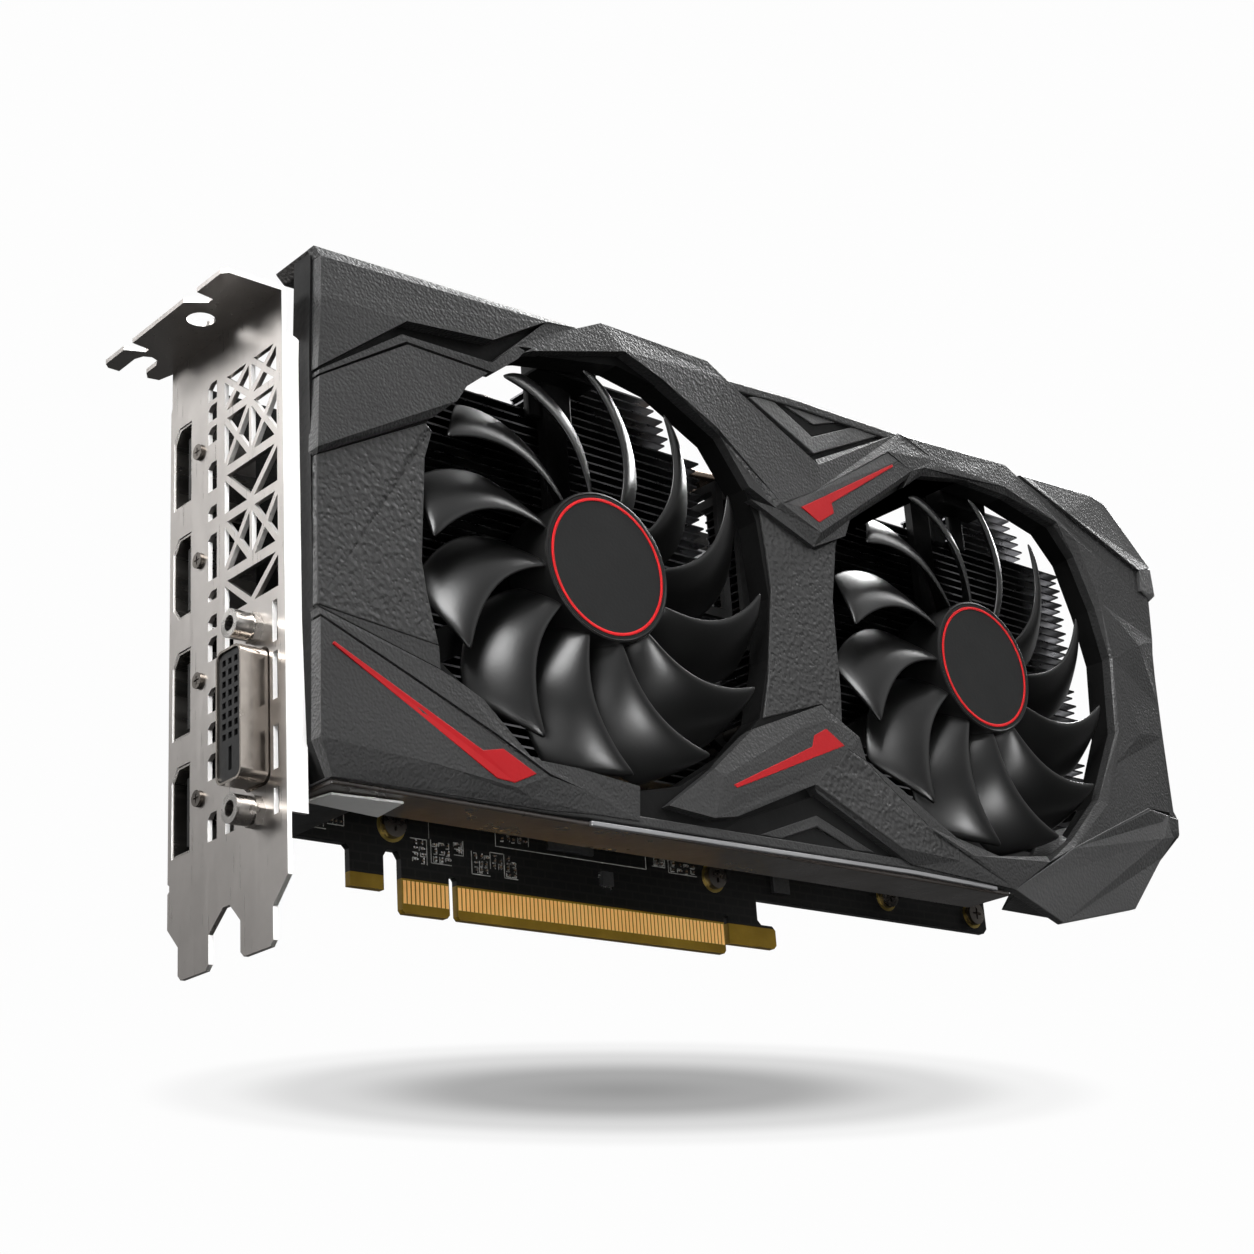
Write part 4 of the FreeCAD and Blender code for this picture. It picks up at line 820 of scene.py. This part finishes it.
# ---- small parts of the circuit board ----
CLUSTERS = [
    # centre X, centre Z, width, height, number of chips
    (24.4, 15.7, 3.6, 2.6, 5), (28.9, 15.8, 3.8, 2.8, 5), (33.2, 16.4, 3.2, 1.8, 4),
    (52.2, 12.5, 3.4, 4.6, 8), (57.6, 12.9, 4.4, 4.2, 9), (61.8, 14.4, 1.8, 2.6, 4),
    (67.2, 11.9, 4.0, 4.2, 9), (71.2, 12.8, 2.8, 3.0, 5), (74.7, 12.1, 2.9, 4.4, 7),
    (75.6, 18.6, 7.2, 3.2, 10), (114.4, 18.5, 3.2, 2.8, 5), (121.3, 18.0, 7.6, 3.6, 9),
]
BOARD_SCREWS = ((45.9, 16.8), (130.1, 16.4), (185.0, 18.2), (215.1, 17.2))
CONTROLLERS = [
    # X from and to, front depth, Z from and to
    (97.9, 100.9, -0.9, 10.9, 13.9), (147.5, 152.5, -0.9, 14.9, 19.3),
    (84.0, 96.0, -0.8, 16.8, 19.6),
]
PADDED_AT = (99.4, 12.4)    # middle of the first controller, which has pads on four sides
PADS_A_SIDE = 6
PAD_PITCH = 0.5
PAD_OUT = 1.75              # from its middle to its pads
PRINT_DEPTH = -0.03
PRINT_LINES = [
    # X from and to, Z from and to
    (71.0, 71.15, 15.9, 20.0), (71.0, 110.9, 15.85, 16.0), (110.8, 110.95, 15.9, 19.3),
    (54.7, 54.8, 15.4, 20.0),
]


def build_board_detail():
    """Chip resistors and capacitors in close groups, their print, and the screws' pads."""
    rng = random.Random(7)
    bodies, ends, print_lines = bmesh.new(), bmesh.new(), bmesh.new()
    for cx, cz, width, height, count in CLUSTERS:
        columns = max(2, round(math.sqrt(count * width / height)))
        rows = math.ceil(count / columns)
        for i in range(count):
            x = cx + ((i % columns + 0.5) / columns - 0.5) * width + rng.uniform(-0.15, 0.15)
            z = cz + ((i // columns + 0.5) / rows - 0.5) * height + rng.uniform(-0.12, 0.12)
            half = (0.42, 0.22) if rng.random() < 0.5 else (0.22, 0.42)
            block(bodies, x - half[0] * 0.55, x + half[0] * 0.55, -0.42, 0,
                  z - half[1] * 0.55, z + half[1] * 0.55)
            for side in (-1, 1):
                ex = x + side * half[0] * 0.78 if half[0] > half[1] else x
                ez = z if half[0] > half[1] else z + side * half[1] * 0.78
                block(ends, ex - 0.14, ex + 0.14, -0.45, 0, ez - 0.14, ez + 0.14)
            if rng.random() < 0.6:
                frame_corner(print_lines, x, z, half[0] + 0.16, half[1] + 0.16, rng)
        frame_corner(print_lines, cx, cz, width / 2 + 0.25, height / 2 + 0.2, rng)
    for x0, x1, z0, z1 in PRINT_LINES:
        block(print_lines, x0, x1, PRINT_DEPTH, 0, z0, z1)
    make_object("board_chips", mesh_from(bodies, "board_chips"), "ceramic",
                replaces=["small_parts"])
    chip = bmesh.new()
    for x0, x1, front, z0, z1 in CONTROLLERS:
        block(chip, x0, x1, front, 0, z0, z1)
    body = make_object("board_controllers", mesh_from(chip, "board_controllers"), "epoxy")
    soften(body, 0.08)
    for i in range(PADS_A_SIDE):
        for side in (-1, 1):
            u = (i - (PADS_A_SIDE - 1) / 2) * PAD_PITCH
            x, z = PADDED_AT[0] + side * PAD_OUT, PADDED_AT[1] + u
            block(ends, x - 0.25, x + 0.25, -0.16, 0, z - 0.1, z + 0.1)
            x, z = PADDED_AT[0] + u, PADDED_AT[1] + side * PAD_OUT
            block(ends, x - 0.1, x + 0.1, -0.16, 0, z - 0.25, z + 0.25)
    make_object("board_solder", mesh_from(ends, "board_solder"), "solder")
    make_object("board_print", mesh_from(print_lines, "board_print"), "print")
    for i, (x, z) in enumerate(BOARD_SCREWS):
        pad = lathe("screw_pad_%d" % i, [(1.7, 0.0), (1.7, -0.06), (3.3, -0.06), (3.3, 0.0)],
                    x, z, closed=True, steps=48)
        make_object("screw_pad_%d" % i, pad, "olive")


def frame_corner(bm, x, z, half_x, half_z, rng):
    """Two sides of a printed outline round a part."""
    t = 0.09
    line = z + rng.choice((-1, 1)) * half_z
    block(bm, x - half_x, x + half_x, PRINT_DEPTH, 0, line - t, line + t)
    edge = x + rng.choice((-1, 1)) * half_x
    block(bm, edge - t, edge + t, PRINT_DEPTH, 0, z - half_z, z + half_z)


build_shroud()
build_lip()
build_board_detail()
build_fin_steps()
for fan_side in FAN_AXES:
    build_rotor(fan_side)
soften(nodes["io_bracket"], 0.16, 35)
soften(nodes["dvi_shell"], 0.12, 40)


# ---- stage, light and camera ----
LENS = 63.54
LENS_SHIFT = 0.0031
CAMERA_AT = (-0.25345, -0.33383, -0.09904)
CAMERA_RIGHT = Vector((0.75440, -0.65325, -0.06433))
CAMERA_UP = Vector((-0.18367, -0.30415, 0.93475))
FLOOR_UP = Vector((-0.280, -0.409, 0.869)).normalized()
SHADOW_AT = Vector((0.0958, 0.0622, -0.0177))
SHADOW_ENDS = (Vector((0.0138, 0.1332, -0.0107)), Vector((0.1778, -0.0089, -0.0247)))
SHADOW_HALF = (0.118, 0.036)          # half length and half width of the painted oval
FLOOR_R = 0.25
FLOOR_FADE = (0.14, 0.24)             # the floor turns clear between these radii
BACKDROP = 0.983
scene = bpy.context.scene
scene.view_settings.view_transform = "Standard"


def camera():
    """Camera at the product view: in front of the card, to its left and below it."""
    data = bpy.data.cameras.new("camera")
    data.lens = LENS
    data.sensor_width = 36.0
    data.shift_y = LENS_SHIFT
    data.clip_start = 0.01
    cam = bpy.data.objects.new("camera", data)
    back = CAMERA_RIGHT.cross(CAMERA_UP)
    turn = Matrix((CAMERA_RIGHT, CAMERA_UP, back)).transposed().to_4x4()
    cam.matrix_world = Matrix.Translation(CAMERA_AT) @ turn
    scene.collection.objects.link(cam)
    scene.camera = cam


def world():
    """Near-white backdrop for the camera; the card itself is lit by a darker graded sky."""
    sky = bpy.data.worlds.new("studio")
    scene.world = sky
    sky.use_nodes = True
    tree = sky.node_tree
    back = tree.nodes["Background"]
    coords = add(tree, "ShaderNodeTexCoord")
    parts = add(tree, "ShaderNodeSeparateXYZ")
    tree.links.new(coords.outputs["Generated"], parts.inputs[0])
    height = add(tree, "ShaderNodeMapRange")
    height.inputs["From Min"].default_value = -1.0
    tree.links.new(parts.outputs["Z"], height.inputs["Value"])
    tone = ramp(tree, height.outputs["Result"],
                [(0.25, grey(0.05)), (0.45, grey(0.15)), (0.66, grey(0.42)), (1.0, grey(0.75))])
    tree.links.new(tone.outputs["Color"], back.inputs["Color"])
    back.inputs["Strength"].default_value = 0.85
    seen = add(tree, "ShaderNodeBackground")
    seen.inputs["Color"].default_value = (BACKDROP, BACKDROP, BACKDROP, 1)
    path = add(tree, "ShaderNodeLightPath")
    mix = add(tree, "ShaderNodeMixShader")
    tree.links.new(path.outputs["Is Camera Ray"], mix.inputs[0])
    tree.links.new(back.outputs[0], mix.inputs[1])
    tree.links.new(seen.outputs[0], mix.inputs[2])
    tree.links.new(mix.outputs[0], tree.nodes["World Output"].inputs["Surface"])


def area_light(name, offset, target, size, power):
    """Square light, placed by its offset from the card's middle and turned to its target."""
    data = bpy.data.lights.new(name, "AREA")
    data.energy = power
    data.size = size
    light = bpy.data.objects.new(name, data)
    place, target = MIDDLE + Vector(offset), Vector(target)
    light.matrix_world = (Matrix.Translation(place)
                          @ (target - place).to_track_quat("-Z", "Y").to_matrix().to_4x4())
    bpy.context.scene.collection.objects.link(light)
    return light


def floor():
    """Pale tilted sheet with a soft shadow painted on it. No light falls on it.

    Its rim and its underside are clear."""
    mat = bpy.data.materials.new("floor_paper")
    mat.use_nodes = True
    tree = mat.node_tree
    tree.nodes.remove(tree.nodes["Principled BSDF"])
    paper = add(tree, "ShaderNodeEmission")
    clear = add(tree, "ShaderNodeBsdfTransparent")
    coords = add(tree, "ShaderNodeTexCoord")
    stretch = add(tree, "ShaderNodeMapping",
                  Scale=(1 / SHADOW_HALF[0], 1 / SHADOW_HALF[1], 0))
    tree.links.new(coords.outputs["Object"], stretch.inputs["Vector"])
    oval = add(tree, "ShaderNodeVectorMath", operation="LENGTH")
    tree.links.new(stretch.outputs["Vector"], oval.inputs[0])
    shade = ramp(tree, oval.outputs["Value"],
                 [(0.0, grey(0.325)), (0.30, grey(0.40)), (0.62, grey(0.70)),
                  (0.84, grey(0.90)), (1.0, grey(BACKDROP))])
    shade.color_ramp.interpolation = "EASE"
    tree.links.new(shade.outputs["Color"], paper.inputs["Color"])
    away = add(tree, "ShaderNodeVectorMath", operation="LENGTH")
    tree.links.new(coords.outputs["Object"], away.inputs[0])
    fade = add(tree, "ShaderNodeMapRange")
    fade.inputs["From Min"].default_value = FLOOR_FADE[0]
    fade.inputs["From Max"].default_value = FLOOR_FADE[1]
    tree.links.new(away.outputs["Value"], fade.inputs["Value"])
    side = add(tree, "ShaderNodeNewGeometry")
    hide = add(tree, "ShaderNodeMath", operation="MAXIMUM")
    tree.links.new(fade.outputs["Result"], hide.inputs[0])
    tree.links.new(side.outputs["Backfacing"], hide.inputs[1])
    mix = add(tree, "ShaderNodeMixShader")
    tree.links.new(hide.outputs["Value"], mix.inputs[0])
    tree.links.new(paper.outputs[0], mix.inputs[1])
    tree.links.new(clear.outputs[0], mix.inputs[2])
    tree.links.new(mix.outputs[0], tree.nodes["Material Output"].inputs["Surface"])
    bm = bmesh.new()
    bmesh.ops.create_circle(bm, cap_ends=True, segments=96, radius=FLOOR_R)
    mesh = bpy.data.meshes.new("floor")
    bm.to_mesh(mesh)
    bm.free()
    mesh.materials.append(mat)
    sheet = bpy.data.objects.new("floor", mesh)
    along = (SHADOW_ENDS[1] - SHADOW_ENDS[0]).normalized()
    across = FLOOR_UP.cross(along)
    turn = Matrix((along, across, FLOOR_UP)).transposed().to_4x4()
    sheet.matrix_world = Matrix.Translation(SHADOW_AT) @ turn
    for kind in ("diffuse", "glossy", "transmission", "shadow"):
        setattr(sheet, "visible_" + kind, False)
    bpy.context.scene.collection.objects.link(sheet)


MIDDLE = Vector((0.07, -0.02, 0.055))
LIGHTS = [
    # name, offset from the card's middle (m), what it points at, width (m), power (W)
    ("key", (-0.56, -0.40, 0.60), MIDDLE + Vector((-0.05, 0, 0.03)), 0.42, 10.5),
    ("front_box", (0.55, -0.85, 0.40), MIDDLE, 0.80, 1.2),
    ("low_front", (-0.90, -0.60, -0.22), MIDDLE, 0.4, 2.4),
    ("left_strip", (-0.80, 0.45, 0.40), MIDDLE, 0.35, 3.6),
    ("rim", (0.75, 0.22, 0.60), MIDDLE, 0.5, 15.0),
    ("edge_fill", (-0.22, -0.80, -0.34), (0.045, 0, 0.004), 0.20, 0.13),
    ("top", (0.62, 0.05, 0.78), MIDDLE, 0.45, 7.0),
]
EDGE_FILL_SPREAD = 30

camera()
world()
lights = {row[0]: area_light(*row) for row in LIGHTS}
lights["edge_fill"].data.spread = math.radians(EDGE_FILL_SPREAD)
floor()
